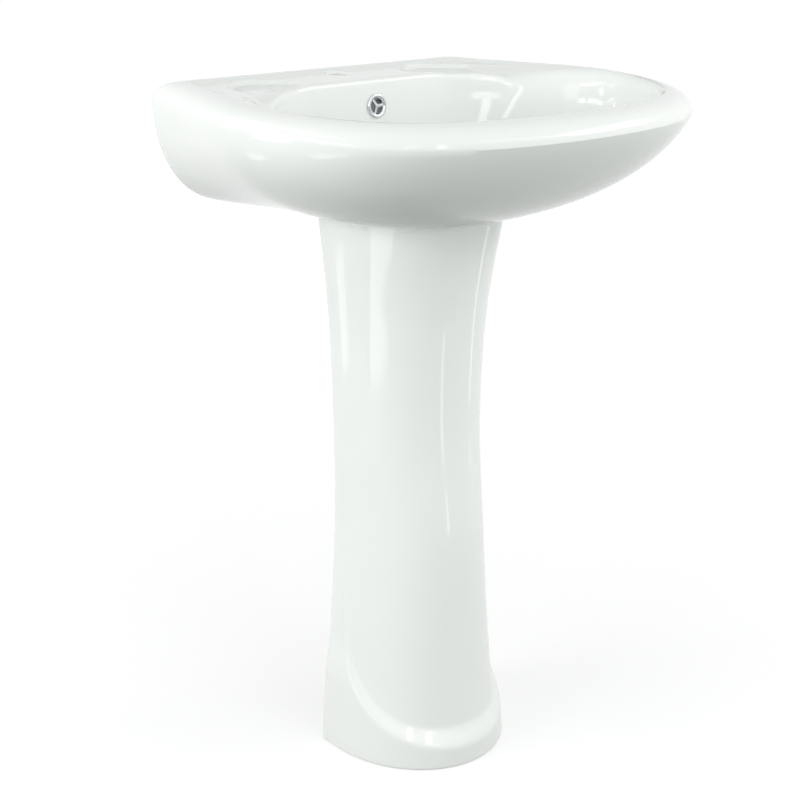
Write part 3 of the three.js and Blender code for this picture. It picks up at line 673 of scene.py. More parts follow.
def plinth_swell(half, z):
    """Moves the outline out outside a U that is low in front and upright at the sides."""
    y = half[:, 1]
    along = np.clip((y - FOOT_FRONT) / (PLINTH_UPRIGHT - FOOT_FRONT), 0, 1)
    top = PLINTH_FRONT_HEIGHT + PLINTH_LEAN * along + PLINTH_BOW * (1 - np.sqrt(1 - along**2))
    top += 8 * np.maximum(y - PLINTH_UPRIGHT, 0)
    fillet = mix(PLINTH_FILLET, PLINTH_SIDE_FILLET, along)
    turn = np.minimum(np.arctan2(np.abs(half[:, 0]), COLUMN_MIDDLE - y), math.pi / 2)
    side_step = PLINTH_SIDE_STEP * (1 - smooth(z, *PLINTH_FADE))
    rise = smooth((top - z) / fillet + 0.5, 0, 1)
    away = np.stack([half[:, 0], np.minimum(y - COLUMN_MIDDLE, 0)], 1)
    away /= np.maximum(np.linalg.norm(away, axis=1), 1e-9)[:, None]
    return half + away * (rise * mix(side_step, PLINTH_STEP, np.cos(turn)))[:, None]


def seat_solid():
    """What the basin and its bedding joint take away from the column's top."""
    above = []
    for t in np.linspace(1, 0.4, 30):
        half = basin_half(outside(t))
        z = mix(RIM - ROLL_DROP, UNDERSIDE_Z, t) - lean(half[:, 1]) * (1 - t) - SEAT_GAP
        above.append(level(half, z))
    return loft_solid("seat", above)


def seam_heights(seat):
    """Height at which each point of the column's outline meets the seat."""
    scan = bmesh.new()
    scan.from_mesh(seat.data)
    tree = BVHTree.FromBMesh(scan)
    scan.free()
    low = 0.8 * COLUMN_TOP
    return np.array([
        tree.ray_cast(Vector((max(x, 0.05), y, low)) * MM, Vector((0, 0, 1)))[0].z / MM
        for x, y in column_half(COLUMN_TOP, SEAM_ROUND / 2)
    ])


def seam_rows(seam, start):
    """Rows of the outside from a level height up, which round the top edge over."""
    steps = [(mix(start, seam - SEAM_ROUND, u), 0) for u in np.linspace(0, 1, 12)[1:]]
    for a in np.linspace(0, math.pi / 2, 10)[1:]:
        away = SEAM_ROUND * (1 - math.cos(a))
        steps.append((seam - SEAM_ROUND * (1 - math.sin(a)), away))
    steps += [(seam + 5, SEAM_ROUND), (seam + 12, SEAM_ROUND)]
    return [
        np.array([[*column_half(z, away)[k], z] for k, z in enumerate(heights)])
        for heights, away in steps
    ]


def column():
    seat = seat_solid()
    seam = seam_heights(seat)
    start = seam.min() - SEAM_ROUND - 12
    outer = []
    for z, inset in ((0, 1.6), (0.25, 0.8), (0.8, 0.25), (1.6, 0)):
        outer.append(level(plinth_swell(column_half(z, inset), z), z))
    for z in [*np.linspace(4, 200, 90), *np.linspace(206, start, 56)]:
        outer.append(level(plinth_swell(column_half(z), z), z))
    outer += seam_rows(seam, start)
    body = finished(capped(draped(np.array(outer))), "column")
    heights = [-1, 60, 120, *np.linspace(180, 1.08 * COLUMN_TOP, 24)]
    steps = (6, 5, 3, 24)
    hollow = [
        level(column_half(z, COLUMN_WALL, -COLUMN_WALL, 5, steps), z) for z in heights
    ]
    slot = [
        level(column_half(z, COLUMN_WALL + FLANGE, COLUMN_WALL, 5, steps), z) for z in heights
    ]
    body = combined(body, [loft_solid("hollow", hollow)], "DIFFERENCE")
    body = combined(body, [loft_solid("slot", slot)], "DIFFERENCE")
    ear_x = FOOT_WIDTH / 2 - COLUMN_WALL - EAR / 2
    ear_half = (EAR + COLUMN_WALL) / 2
    for side in (-1, 1):
        ends = sorted((side * (ear_x - ear_half + 1), side * (ear_x + ear_half - 3)))
        ear = box_solid(
            "ear",
            (ends[0], COLUMN_REAR - EAR, 0),
            (ends[1], COLUMN_REAR - COLUMN_WALL / 2, EAR_HEIGHT),
        )
        hole = pin_solid(
            "screw_hole", SCREW_HOLE / 2, -1, EAR_HEIGHT + 1,
            (side * ear_x, COLUMN_REAR - EAR / 2), 40,
        )
        body = combined(body, [ear], "UNION")
        body = combined(body, [hole], "DIFFERENCE")
    return combined(body, [seat], "DIFFERENCE")


# ---- Overflow, waste, stopper and trap ---------------------------------------------------

AXIS = (0, DRAIN_Y)
FIT, SLIDE = 0.2, 0.25
TUBE, TUBE_WALL, SOCKET_WALL = 16, 1.6, 2.4
SOCKET = TUBE + SLIDE
THREAD_RADIUS, THREAD_PITCH = 21.5, 2.3


def span(name):
    """Lowest and highest height of a CAD node, in millimetres."""
    low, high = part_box(name)
    return low.z / MM, high.z / MM


def reach(name):
    """Half the width of a CAD node, in millimetres."""
    low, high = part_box(name)
    return (high.x - low.x) / 2 / MM


def ring_profile(inner, outer, low, high):
    return [(inner, low), (outer, low), (outer, high), (inner, high)]


def flat_ring(name, inner, bevel=0.3):
    return finished(spun(ring_profile(inner, reach(name), *span(name)), AXIS, bevel=bevel), name)


def threads(low, high, radius, depth=0.7, pitch=THREAD_PITCH):
    """Profile points of a threaded stretch, from low to high."""
    points = []
    for i in range(int((high - low) / pitch)):
        z = low + i * pitch
        points += [(radius - depth, z), (radius - depth, z + 0.25 * pitch),
                   (radius, z + 0.55 * pitch), (radius, z + 0.75 * pitch)]
    return points


def bars(name, turns, length, width, low, high, start=0.0):
    """Flat arms that stand out from the Z axis, one for each turn in degrees."""
    made = []
    for turn in turns:
        arm = box_solid(name, (start, -width / 2, low), (length, width / 2, high))
        arm.data.transform(Matrix.Rotation(math.radians(turn), 4, "Z"))
        made.append(arm)
    return made


def softened(obj, size, segments=3, angle=35):
    """Rounds the sharp edges of a finished body."""
    bm = bmesh.new()
    bm.from_mesh(obj.data)
    bmesh.ops.remove_doubles(bm, verts=bm.verts, dist=2e-6)
    bmesh.ops.dissolve_limit(
        bm, angle_limit=math.radians(0.5), verts=bm.verts, edges=bm.edges
    )
    round_edges(bm, size, segments, angle)
    bmesh.ops.recalc_face_normals(bm, faces=bm.faces)
    bm.to_mesh(obj.data)
    bm.free()
    shaded(obj.data)
    return obj


SLEEVE_OUTER = OVERFLOW_HOLE / 2 - 0.3
SLEEVE_WALL, COLLAR_WALL, COLLAR = 0.8, 1.2, 8
COLLAR_OUTER = SLEEVE_OUTER - SLEEVE_WALL - 0.3
COVER_BORE = COLLAR_OUTER - COLLAR_WALL
COVER_HEIGHT, COVER_EDGE, COVER_ROUND, MOUTH_FALL = 2.8, 1.0, 1.9, 2.6
SPOKE_WIDTH, HUB_RADIUS = 3, 2.4
SPOKE_TURNS = 6, 126, 246


def overflow_cover():
    rim, crown = COVER_RADIUS, COVER_RADIUS - COVER_ROUND
    face = [(rim, 0.3), (rim, COVER_EDGE)]
    for a in np.linspace(0.1, 1, 7) * math.pi / 2:  # rounded outer edge up to the crown
        face.append((rim - COVER_ROUND * (1 - math.cos(a)),
                     COVER_EDGE + (COVER_HEIGHT - COVER_EDGE) * math.sin(a)))
    for a in np.linspace(0.15, 1, 6) * math.pi / 2:  # and down into the mouth
        face.append((crown - (crown - COVER_BORE) * math.sin(a),
                     COVER_HEIGHT - MOUTH_FALL * (1 - math.cos(a))))
    profile = [(COVER_BORE, -COLLAR), (COLLAR_OUTER, -COLLAR), (COLLAR_OUTER, 0.3), *face]
    body = finished(spun(profile, steps=96), "overflow_cover")
    arms = bars("arm", SPOKE_TURNS, COVER_BORE + 0.6, SPOKE_WIDTH, -1.2, 1.2)
    hub = pin_solid("hub", HUB_RADIUS, -1.2, 1.2, steps=40)
    spider = softened(combined(hub, arms, "UNION"), 0.5)
    body = combined(body, [spider], "UNION")
    body.data.transform(at_overflow)
    return body


def overflow_sleeve():
    profile = ring_profile(SLEEVE_OUTER - SLEEVE_WALL, SLEEVE_OUTER, -COLLAR, -0.3)
    body = finished(spun(profile, bevel=0.15), "overflow_sleeve")
    body.data.transform(at_overflow)
    return body


FLANGE_TOP = span("waste_body")[1]
FLANGE_BOTTOM = FLANGE_TOP - 3
WASTE_BORE = THREAD_RADIUS - 2.5
HUB_TOP = FLANGE_BOTTOM - 44
SPIDER_RADIUS, SPIDER_HEIGHT = 10, 6
RIB_WIDTH, RIB_TURNS = 3, (45, 165, 285)
CARTRIDGE, STEM = 7, 4
TAILPIECE_TOP = span("tailpiece")[1] + FIT


def waste_body():
    low, high = span("waste_body")
    rim = reach("waste_body")
    crown = [(rim - 0.5, FLANGE_BOTTOM), (rim, FLANGE_BOTTOM + 0.5), (rim, FLANGE_BOTTOM + 1.2)]
    for a in np.linspace(0.15, 1, 6) * math.pi / 2:
        crown.append((rim - 2.4 * (1 - math.cos(a)), FLANGE_BOTTOM + 1.2 + 1.8 * math.sin(a)))
    for a in np.linspace(0, 1, 7) * math.pi / 2:
        crown.append((WASTE_BORE + 5 - 5 * math.sin(a), high - 4 * (1 - math.cos(a))))
    profile = [
        (SOCKET, low), (THREAD_RADIUS - 0.7, low),
        *threads(low + 1, SEAT_Z - 30, THREAD_RADIUS),
        (THREAD_RADIUS, SEAT_Z - 28), (THREAD_RADIUS, FLANGE_BOTTOM), *crown,
        (WASTE_BORE, TAILPIECE_TOP + 6), (TUBE - TUBE_WALL, TAILPIECE_TOP + 3),
        (TUBE - TUBE_WALL, TAILPIECE_TOP), (SOCKET, TAILPIECE_TOP),
    ]
    body = finished(spun(profile), "waste_body")
    for turn in (0, 90):
        window = box_solid(
            "window", (-60, -WINDOW_WIDTH / 2, SEAT_Z - WINDOW_DROP - WINDOW_HEIGHT / 2),
            (60, WINDOW_WIDTH / 2, SEAT_Z - WINDOW_DROP + WINDOW_HEIGHT / 2),
        )
        window.data.transform(Matrix.Rotation(math.radians(turn), 4, "Z"))
        body = combined(body, [window], "DIFFERENCE")
    arms = bars(
        "rib", RIB_TURNS, WASTE_BORE + 1.2, RIB_WIDTH, HUB_TOP - SPIDER_HEIGHT, HUB_TOP, 8
    )
    hub = pin_solid("hub", SPIDER_RADIUS, HUB_TOP - SPIDER_HEIGHT, HUB_TOP)
    hub = combined(hub, arms, "UNION")
    bore = pin_solid("bore", CARTRIDGE + SLIDE, HUB_TOP - SPIDER_HEIGHT - 1, HUB_TOP + 1)
    spider = softened(combined(hub, [bore], "DIFFERENCE"), 0.4)
    body = combined(body, [spider], "UNION")
    body.data.transform(Matrix.Translation((0, DRAIN_Y * MM, 0)))
    return sealed(body)


def taper_gasket():
    low, high = span("waste_taper_gasket")
    rim = reach("waste_taper_gasket")
    profile = [(THREAD_RADIUS + SLIDE, low), (rim, low), (rim, high - 8),
               (WASTE_HOLE / 2 + 3, high), (THREAD_RADIUS + SLIDE, high)]
    return finished(spun(profile, AXIS, bevel=0.8), "waste_taper_gasket")


def hexagon(name, bore, lead=1.6, centre=AXIS):
    """Nut with six flats, its corners turned down at both ends."""
    low, high = span(name)
    corner = reach(name) / math.cos(math.pi / 6)
    flats = spun([(0, low), (corner, low), (corner, high), (0, high)], steps=6)
    bmesh.ops.rotate(flats, verts=flats.verts, matrix=Matrix.Rotation(math.pi / 2, 3, "Z"))
    body = softened(finished(flats, name), 1.2, 3, 40)
    turned_down = [(0, low), (corner - lead, low), (corner, low + 0.6 * lead),
                   (corner, high - 0.6 * lead), (corner - lead, high), (0, high)]
    body = combined(body, [finished(spun(turned_down), "blank")], "INTERSECT")
    for radius, bottom, top in bore:
        body = combined(body, [pin_solid("bore", radius, bottom, top)], "DIFFERENCE")
    body.data.transform(Matrix.Translation((0, centre[1] * MM, 0)))
    return sealed(body)


def slip_nut(name, centre):
    low, high = span(name)
    socket = SOCKET + SOCKET_WALL
    return hexagon(name, [(socket + SLIDE, low - 1, high - 3.5), (SOCKET, low, high + 1)],
                   centre=centre)


def cone_washer(name, centre):
    low, high = span(name)
    outer = reach(name)
    profile = [(SOCKET, low), (outer - 0.8, low), (outer, low + 1.8), (outer, high),
               (SOCKET, high)]
    return finished(spun(profile, centre, bevel=0.3), name)


def stopper_cartridge():
    low, high = span("stopper_cartridge")
    collar = reach("stopper_cartridge")
    profile = [
        (0, low), (CARTRIDGE, low), *threads(low + 1.5, HUB_TOP - 0.5, CARTRIDGE, 0.4, 1.4),
        (CARTRIDGE, HUB_TOP + FIT), (collar, HUB_TOP + FIT), (collar, HUB_TOP + FIT + 3),
        (CARTRIDGE, HUB_TOP + FIT + 3), (CARTRIDGE, high - 1), (CARTRIDGE - 1, high),
        (STEM + SLIDE, high), (STEM + SLIDE, low + 2), (0, low + 2),
    ]
    return finished(spun(profile, AXIS, bevel=0.15), "stopper_cartridge")


def stopper_spring():
    """Round wire wound by turning its section about the axis while it climbs."""
    low, high = span("stopper_spring")
    wire, turns, per_turn = 0.55, 5, 40
    bm = bmesh.new()
    made = bmesh.ops.create_circle(bm, segments=14, radius=wire * MM, cap_ends=False)
    bmesh.ops.rotate(bm, verts=made["verts"], matrix=Matrix.Rotation(math.pi / 2, 3, "X"))
    middle = reach("stopper_spring") - wire
    bmesh.ops.translate(bm, verts=bm.verts, vec=(middle * MM, 0, (low + wire) * MM))
    climb = (high - low - 2 * wire) / (turns * per_turn)
    bmesh.ops.spin(
        bm, geom=list(bm.verts) + list(bm.edges), cent=(0, 0, 0), axis=(0, 0, 1),
        angle=2 * math.pi * turns, steps=turns * per_turn, dvec=(0, 0, climb * MM),
        use_merge=False,
    )
    bmesh.ops.holes_fill(bm, edges=[e for e in bm.edges if e.is_boundary], sides=0)
    bmesh.ops.translate(bm, verts=bm.verts, vec=(0, DRAIN_Y * MM, 0))
    return finished(bm, "stopper_spring")


def stopper_cap():
    low, high = span("stopper_cap")
    rim = reach("stopper_cap")
    crown = []
    for a in np.linspace(0.1, 1, 8) * math.pi / 2:
        crown.append((rim - 2.6 * (1 - math.cos(a)), low + 1.6 + 2.7 * math.sin(a)))
    for x in np.linspace(0.1, 1, 10):
        crown.append(((rim - 2.6) * (1 - x), low + 4.3 + (high - low - 4.3) * (1 - (1 - x) ** 2)))
    profile = [(0, low), (rim - 0.8, low), (rim - 0.2, low + 0.3), (rim, low + 0.8),
               (rim, low + 1.6), *crown]
    return finished(spun(profile, AXIS, steps=128), "stopper_cap")


def stopper_stem():
    low, high = span("stopper_stem")
    profile = [(0, low), (STEM - 0.4, low), (STEM, low + 0.4), (STEM, high - 3),
               (reach("stopper_stem"), high), (0, high)]
    return finished(spun(profile, AXIS, steps=64), "stopper_stem")


def pipe(name, stations, outer, bore, lip=0.6, around=48):
    """Tube through stations [y, z, heading] in the plane X = 0, its ends rounded by lip."""
    stations = [np.array(s, float) for s in stations]
    first, last = stations[0], stations[-1]
    levels = []

    def section(station, radius, along=0.0):
        y, z, heading = station
        a = np.linspace(0, 2 * math.pi, around + 1)
        lift = radius * np.sin(a)
        levels.append(np.stack([
            radius * np.cos(a),
            y + along * math.cos(heading) + lift * math.sin(heading),
            z + along * math.sin(heading) - lift * math.cos(heading),
        ], 1))

    section(first, outer - lip)
    section(first, outer, lip)
    for s in stations[1:-1]:
        section(s, outer)
    section(last, outer, -lip)
    section(last, outer - lip)
    section(last, bore + lip / 2)
    section(last, bore, -lip / 2)
    for s in stations[-2:0:-1]:
        section(s, bore)
    section(first, bore, lip / 2)
    section(first, bore + lip / 2)
    section(first, outer - lip)
    return finished(draped(np.array(levels), mirror=False), name)


def elbow(y, z, radius, start, end, steps=24):
    """Stations of a pipe along an arc."""
    way = math.copysign(math.pi / 2, end - start)
    return [
        (y + radius * math.cos(a), z + radius * math.sin(a), a + way)
        for a in np.linspace(start, end, steps + 1)
    ]


TRAP_BEND, ARM_BEND = 34, 30
OUTLET_Y = DRAIN_Y + 2 * TRAP_BEND
INLET_TOP = span("tailpiece")[0] + 26
BEND_Z = INLET_TOP - 36
OUTLET_TOP = BEND_Z + 18


def trap_bend():
    return pipe(
        "trap_bend",
        [(DRAIN_Y, INLET_TOP, -math.pi / 2),
         *elbow(DRAIN_Y + TRAP_BEND, BEND_Z, TRAP_BEND, -math.pi, 0),
         (OUTLET_Y, OUTLET_TOP, math.pi / 2)],
        SOCKET + SOCKET_WALL, SOCKET,
    )


def trap_arm():
    top = span("trap_arm")[1] - TUBE
    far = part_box("trap_arm")[1].y / MM
    return pipe(
        "trap_arm",
        [(OUTLET_Y, OUTLET_TOP - 16, math.pi / 2),
         *elbow(OUTLET_Y + ARM_BEND, top - ARM_BEND, ARM_BEND, math.pi, math.pi / 2, 14),
         (far, top, 0)],
        TUBE, TUBE - TUBE_WALL,
    )


# ---- Materials ---------------------------------------------------------------------------


def node(tree, kind, settings=None, **links):
    """Adds a node: settings are its properties and unlinked inputs, links name a source socket
    for an input. A name with a trailing number picks a second input of the same name."""
    made = tree.nodes.new(kind)
    for key, value in (settings or {}).items():
        if key in made.inputs:
            made.inputs[key].default_value = value
        else:
            setattr(made, key, value)
    for key, source in links.items():
        socket = made.inputs[int(key[1:])] if key[1:].isdigit() else made.inputs[key]
        tree.links.new(source, socket)
    return made


def material(name, **settings):
    """New material with a Principled shader; returns it, its node tree and the shader."""
    made = bpy.data.materials.new(name)
    made.use_nodes = True
    tree = made.node_tree
    shader = tree.nodes["Principled BSDF"]
    for key, value in settings.items():
        shader.inputs[key.replace("_", " ").title().replace("Ior", "IOR")].default_value = value
    return made, tree, shader


def coordinates(tree):
    return tree.nodes.new("ShaderNodeTexCoord").outputs["Object"]


def per_metre(size):
    """Scale of a pattern whose features are that many millimetres apart."""
    return 1 / (size * MM)


def noise(tree, vector, size, detail):
    made = node(tree, "ShaderNodeTexNoise", {"Scale": per_metre(size), "Detail": detail},
                Vector=vector)
    return made.outputs["Fac"]


def two_tones(tree, pattern, first, second, ends=(0, 1)):
    """Colour that follows a pattern from one tone to another between two of its values."""
    made = node(tree, "ShaderNodeValToRGB", Fac=pattern)
    for stop, place, tone in zip(made.color_ramp.elements, ends, (first, second)):
        stop.position, stop.color = place, linear(tone)
    return made.outputs["Color"]


def bumped(tree, shader, height, strength, depth):
    """Relief from a pattern, whose depth is in millimetres."""
    bump = node(tree, "ShaderNodeBump", {"Strength": strength, "Distance": depth * MM},
                Height=height)
    tree.links.new(bump.outputs["Normal"], shader.inputs["Normal"])


def glazed_china():
    """Vitreous china, slip cast, sprayed with white glaze and fired: a deep even gloss over a
    very slightly cool white body, which lies in faint ripples the size of a fingertip. The
    faces it stood on in the kiln, to the wall and the floor, are bare, matt and creamy."""
    made, tree, shader = material("glazed_vitreous_china", ior=1.52)
    at = coordinates(tree)
    glaze = two_tones(tree, noise(tree, at, 90, 2.0), "#f3f5f3", "#f4f6f4", (0.35, 0.65))
    place = node(tree, "ShaderNodeSeparateXYZ", Vector=at)
    wall_face = node(tree, "ShaderNodeMapRange",
                     {"From Min": (WALL_Y - 0.6) * MM, "From Max": (WALL_Y - 0.2) * MM},
                     Value=place.outputs["Y"])
    foot = node(tree, "ShaderNodeMapRange",
                {"From Min": 0.3 * MM, "From Max": 0.7 * MM, "To Min": 1.0, "To Max": 0.0},
                Value=place.outputs["Z"])
    bare = node(tree, "ShaderNodeMath", {"operation": "MAXIMUM"},
                i0=wall_face.outputs["Result"], i1=foot.outputs["Result"])
    body = node(tree, "ShaderNodeMix", {"data_type": "RGBA"}, i0=bare.outputs["Value"],
                i6=glaze)
    body.inputs[7].default_value = linear("#ece7dc")
    tree.links.new(body.outputs[2], shader.inputs["Base Color"])
    gloss = node(tree, "ShaderNodeMapRange", {"To Min": 0.06, "To Max": 0.75},
                 Value=bare.outputs["Value"])
    tree.links.new(gloss.outputs["Result"], shader.inputs["Roughness"])
    bumped(tree, shader, noise(tree, at, 22, 1.0), 0.05, 0.4)
    return made


def polished_chrome():
    """Brass, polished and chrome plated: a hard blue-white mirror with the faint haze that
    wiping leaves."""
    made, tree, shader = material("polished_chrome", metallic=1.0)
    haze = node(tree, "ShaderNodeMapRange", {"To Min": 0.04, "To Max": 0.11},
                Value=noise(tree, coordinates(tree), 14, 4.0))
    tree.links.new(haze.outputs["Result"], shader.inputs["Roughness"])
    shader.inputs["Base Color"].default_value = linear("#dfe2e5")
    return made


def machined_brass():
    """Cast brass, turned on a lathe: warm yellow metal with fine rings from the tool."""
    made, tree, shader = material("machined_brass", metallic=1.0, roughness=0.28)
    at = coordinates(tree)
    shift = node(tree, "ShaderNodeMapping", {"Location": (0, -DRAIN_Y * MM, 0)}, Vector=at)
    rings = node(
        tree, "ShaderNodeTexWave",
        {"wave_type": "RINGS", "rings_direction": "Z", "Scale": per_metre(0.9) / 20,
         "Distortion": 0.3},
        Vector=shift.outputs["Vector"],
    )
    cast = two_tones(tree, noise(tree, at, 6, 3.0), "#b08a48", "#cdaa68")
    tree.links.new(cast, shader.inputs["Base Color"])
    bumped(tree, shader, rings.outputs["Fac"], 0.3, 0.1)
    return made


def moulded_rubber():
    """Black synthetic rubber, moulded: matt, with a fine grain and a dusty bloom."""
    made, tree, shader = material("moulded_rubber", roughness=0.72)
    at = coordinates(tree)
    bloom = two_tones(tree, noise(tree, at, 8, 4.0), "#202124", "#35363a")
    tree.links.new(bloom, shader.inputs["Base Color"])
    bumped(tree, shader, noise(tree, at, 0.6, 2.0), 0.2, 0.1)
    return made


def moulded_nylon():
    """Nylon, injection moulded: milky white, half matt, with a spark-eroded mould texture."""
    made, tree, shader = material("moulded_nylon", roughness=0.42, ior=1.53)
    at = coordinates(tree)
    flow = two_tones(tree, noise(tree, at, 12, 2.0), "#dedacc", "#e9e6da")
    tree.links.new(flow, shader.inputs["Base Color"])
    bumped(tree, shader, noise(tree, at, 0.8, 1.0), 0.15, 0.08)
    return made


def drawn_steel():
    """Stainless steel wire and rod, drawn through a die: grey, with fine lines along it."""
    made, tree, shader = material("drawn_stainless_steel", metallic=1.0, roughness=0.3)
    drawn = node(tree, "ShaderNodeMapping", {"Scale": (1, 1, 0.04)}, Vector=coordinates(tree))
    lines = noise(tree, drawn.outputs["Vector"], 0.7, 2.0)
    tree.links.new(two_tones(tree, lines, "#94989c", "#b2b5b8"), shader.inputs["Base Color"])
    return made


finishes = {
    "glazed_china": glazed_china(),
    "polished_chrome": polished_chrome(),
    "cast_brass": machined_brass(),
    "black_rubber": moulded_rubber(),
    "white_nylon": moulded_nylon(),
    "spring_steel": drawn_steel(),
}


# ---- Assembly ----------------------------------------------------------------------------

outlet_axis = (0, OUTLET_Y)
pieces = [
    ("basin", washbasin(), "glazed_china"),
    ("column", column(), "glazed_china"),
    ("overflow_cover", overflow_cover(), "polished_chrome"),
    ("overflow_sleeve", overflow_sleeve(), "white_nylon"),
    ("waste_flange_seal", flat_ring("waste_flange_seal", THREAD_RADIUS + SLIDE), "black_rubber"),
    ("waste_body", waste_body(), "polished_chrome"),
    ("waste_taper_gasket", taper_gasket(), "black_rubber"),
    ("waste_friction_washer", flat_ring("waste_friction_washer", THREAD_RADIUS + SLIDE),
     "white_nylon"),
    ("waste_locknut", hexagon("waste_locknut",
                              [(THREAD_RADIUS + SLIDE, span("waste_locknut")[0] - 1,
                                span("waste_locknut")[1] + 1)]), "cast_brass"),
    ("stopper_cartridge", stopper_cartridge(), "white_nylon"),
    ("stopper_spring", stopper_spring(), "spring_steel"),
    ("stopper_cap", stopper_cap(), "polished_chrome"),
    ("stopper_seal", flat_ring("stopper_seal", WASTE_BORE - 4, 0.4), "black_rubber"),
    ("stopper_stem", stopper_stem(), "spring_steel"),
    ("tailpiece", flat_ring("tailpiece", TUBE - TUBE_WALL, 0.4), "polished_chrome"),
    ("trap_inlet_nut", slip_nut("trap_inlet_nut", AXIS), "polished_chrome"),
    ("trap_inlet_washer", cone_washer("trap_inlet_washer", AXIS), "black_rubber"),
    ("trap_bend", trap_bend(), "polished_chrome"),
    ("trap_outlet_nut", slip_nut("trap_outlet_nut", outlet_axis), "polished_chrome"),
    ("trap_outlet_washer", cone_washer("trap_outlet_washer", outlet_axis), "black_rubber"),
    ("trap_arm", trap_arm(), "polished_chrome"),
]
body_of = {
    member: body
    for body, members in frame["record"]["behaviour"]["bodies"].items()
    for member in members
}
for cad_node, piece, slot in pieces:
    piece.name = "glazed_" + cad_node if slot == "glazed_china" else "fine_" + cad_node
    piece.data.materials.clear()
    piece.data.materials.append(finishes[slot])
    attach(piece, body_of[cad_node])
    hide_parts(cad_node)


# ---- Floor, light and camera -------------------------------------------------------------


def studio_paint():
    """Matt pale paint. The camera and mirrors see it as plain white with the shadow kept, while
    it throws back less light from below than a white sheet would. Its own glow makes up for
    the lamps' falling off away from the object."""
    made, tree, shader = material("matt_studio_paint", roughness=0.9, ior=1.3)
    shader.inputs["Base Color"].default_value = linear("#58615b")
    shade = node(tree, "ShaderNodeBsdfDiffuse", {"Color": linear("#a8a9a8")})
    away = node(tree, "ShaderNodeVectorMath", {"operation": "LENGTH"}, i0=coordinates(tree))
    glow = node(tree, "ShaderNodeMapRange",
                {"From Min": 0.3, "From Max": 2.6, "To Min": 0.64, "To Max": 0.84},
                Value=away.outputs["Value"])
    lift = node(tree, "ShaderNodeEmission", {"Color": (1, 1, 1, 1)},
                Strength=glow.outputs["Result"])
    white = node(tree, "ShaderNodeAddShader", i0=shade.outputs["BSDF"],
                 i1=lift.outputs["Emission"])
    both = node(tree, "ShaderNodeMixShader", i0=seen_directly(tree), i1=shader.outputs["BSDF"],
                i2=white.outputs["Shader"])
    tree.links.new(both.outputs["Shader"], tree.nodes["Material Output"].inputs["Surface"])
    return made


def seen_directly(tree):
    """1 for what the camera sees, straight on or in a mirror or glass."""
    rays = node(tree, "ShaderNodeLightPath")
    seen = node(tree, "ShaderNodeMath", {"operation": "MAXIMUM"},
                i0=rays.outputs["Is Camera Ray"], i1=rays.outputs["Is Glossy Ray"])
    through = node(tree, "ShaderNodeMath", {"operation": "MAXIMUM"},
                   i0=seen.outputs["Value"], i1=rays.outputs["Is Transmission Ray"])
    return through.outputs["Value"]


def floor():
    bm = bmesh.new()
    bmesh.ops.create_grid(bm, x_segments=2, y_segments=2, size=30)
    bmesh.ops.translate(bm, verts=bm.verts, vec=(0, 0, -0.0005))
    made = finished(bm, "studio_floor")
    made.data.materials.append(studio_paint())


AIM = 0.75  # height on the axis that the lamps face


def direction(azimuth, elevation):
    """Azimuth 0 is towards the wall and 90 towards +X."""
    a, e = math.radians(azimuth), math.radians(elevation)
    return Vector((math.sin(a) * math.cos(e), math.cos(a) * math.cos(e), math.sin(e)))


def aimed(name, data, place, ahead):
    """Adds a lamp or a camera that looks ahead from its place."""
    made = bpy.data.objects.new(name, data)
    bpy.context.scene.collection.objects.link(made)
    made.location = place
    made.rotation_mode = "QUATERNION"
    made.rotation_quaternion = ahead.to_track_quat("-Z", "Y")
    return made


def softbox(name, size, azimuth, elevation, distance, strength, target=AIM, mirrored=True):
    """Flat soft light facing the axis at a height. A strength of 1 is as bright as white paper.
    Without mirrored it leaves no highlight."""
    data = bpy.data.lights.new(name, "AREA")
    data.shape = "RECTANGLE"
    data.size, data.size_y = size
    data.energy = strength * math.pi * size[0] * size[1]
    away = direction(azimuth, elevation)
    lamp = aimed(name, data, Vector((0, 0, target)) + away * distance, -away)
    lamp.visible_glossy = mirrored
    return lamp


def strip_light(name, start, end, distance, width, strength):
    """Long soft light between two directions, each an azimuth and an elevation."""
    ends = [direction(*start), direction(*end)]
    along = (ends[1] - ends[0]) * distance
    lamp = softbox(name, (along.length, width), 0, 0, 1, strength)
    middle = (ends[0] + ends[1]) / 2 * distance
    lamp.location = Vector((0, 0, AIM)) + middle
    back = middle.normalized()
    x = (along - back * along.dot(back)).normalized()
    turn = Matrix((x, back.cross(x), back)).transposed()
    lamp.rotation_quaternion = turn.to_quaternion()


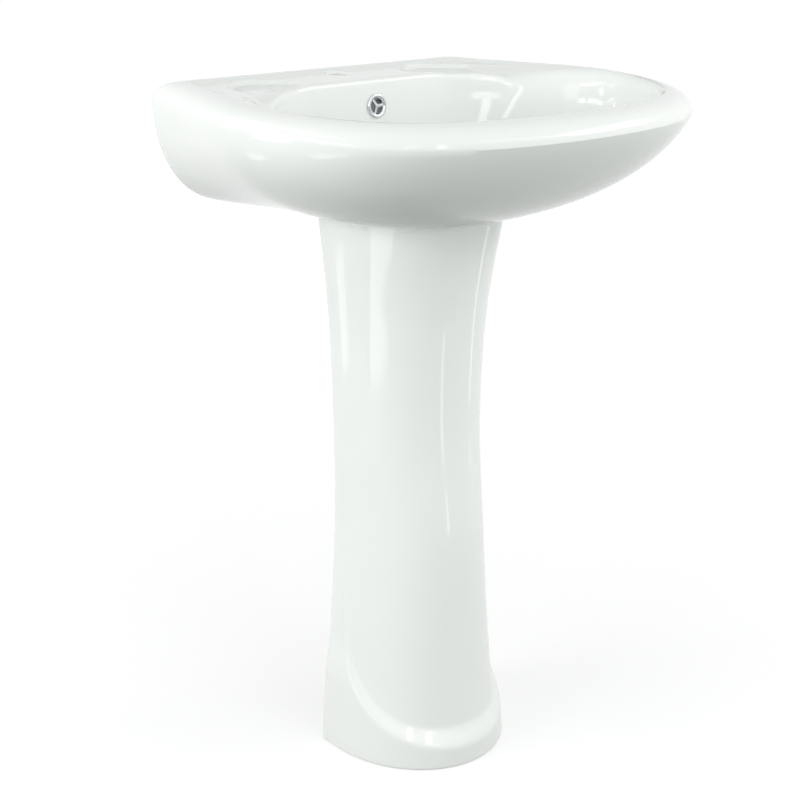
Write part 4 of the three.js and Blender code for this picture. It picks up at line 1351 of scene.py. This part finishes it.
def studio():
    floor()
    world = bpy.data.worlds.new("studio")
    bpy.context.scene.world = world
    world.use_nodes = True
    tree = world.node_tree
    sky = tree.nodes["Background"]
    sky.inputs["Color"].default_value = linear("#eef3f0")
    sky.inputs["Strength"].default_value = 0.48
    seen = node(tree, "ShaderNodeBackground", {"Color": (1, 1, 1, 1), "Strength": 1.0})
    either = node(tree, "ShaderNodeMixShader", i0=seen_directly(tree),
                  i1=sky.outputs["Background"], i2=seen.outputs["Background"])
    tree.links.new(either.outputs["Shader"], tree.nodes["World Output"].inputs["Surface"])
    # Window behind the left shoulder: a wide lower light, a tall stile and the sash beside it
    softbox("front_window", (0.83, 0.34), -160, 7.5, 2.8, 2.6)
    strip_light("front_stile", (-159.5, 11), (-162.5, 34), 2.8, 0.24, 3.6)
    strip_light("front_sash", (-139, 5), (-149, 33), 2.8, 0.15, 4.0)
    # Window wall on the left: a curtain, a row of three panes and the frame round them
    softbox("left_curtain", (0.5, 0.36), -107, 13.5, 2.6, 1.8)
    for turn, wide in ((-96, 0.38), (-80, 0.74), (-58, 0.96)):
        softbox("left_pane", (wide, 0.24), turn, 18.2, 2.6, 4.8)
    strip_light("left_frame", (-44.5, 19), (-40.5, 7), 2.6, 0.05, 4.0)
    strip_light("left_frame", (-40.5, 9), (-26, 35), 2.6, 0.05, 4.0)
    strip_light("left_transom", (-89, 46), (-27, 36), 2.6, 0.08, 4.0)
    softbox("left_door", (0.9, 1.0), -61, 0, 2.6, 2.6)
    # Light slot in the ceiling, which widens towards the right
    strip_light("ceiling_slot", (-174, 37), (142, 25), 2.4, 0.14, 3.2)
    strip_light("ceiling_panel", (143, 25), (111, 25), 2.4, 0.6, 4.0)
    # Low lights near the floor, which brighten the underside and the column
    softbox("low_left", (0.46, 0.18), -93.5, -22, 1.19, 2.0, target=0.6)
    softbox("low_rear", (0.2, 0.12), -46, -22, 1.19, 1.35, target=0.62)
    softbox("low_front", (0.08, 0.11), 173.5, -22, 1.19, 2.2, target=0.505)
    softbox("low_right", (0.08, 0.1), 111, -22, 1.19, 1.6, target=0.56)
    # Fill light, which leaves no highlights
    softbox("left_fill", (2.2, 1.2), -82, 8, 3.0, 4.5, mirrored=False)
    softbox("front_fill", (1.8, 1.4), 178, 4, 3.0, 2.4, mirrored=False)
    softbox("front_high", (1.8, 1.2), 170, 34, 3.0, 1.2, mirrored=False)
    softbox("side_fill", (1.6, 1.2), 132, 2, 3.0, 2.4, mirrored=False)
    softbox("rear_fill", (1.6, 1.2), 15, 4, 3.0, 1.0, mirrored=False)


CAMERA_PLACE = (-1.1062, -1.2119, 1.0123)
CAMERA_AZIMUTH, CAMERA_PITCH = 40.87, -18.941
LENS, SENSOR = 66.28, 36


def camera():
    data = bpy.data.cameras.new("camera")
    data.lens, data.sensor_width = LENS, SENSOR
    ahead = direction(CAMERA_AZIMUTH, CAMERA_PITCH)
    bpy.context.scene.camera = aimed("camera", data, CAMERA_PLACE, ahead)


studio()
camera()
bpy.context.scene.view_settings.view_transform = "Standard"
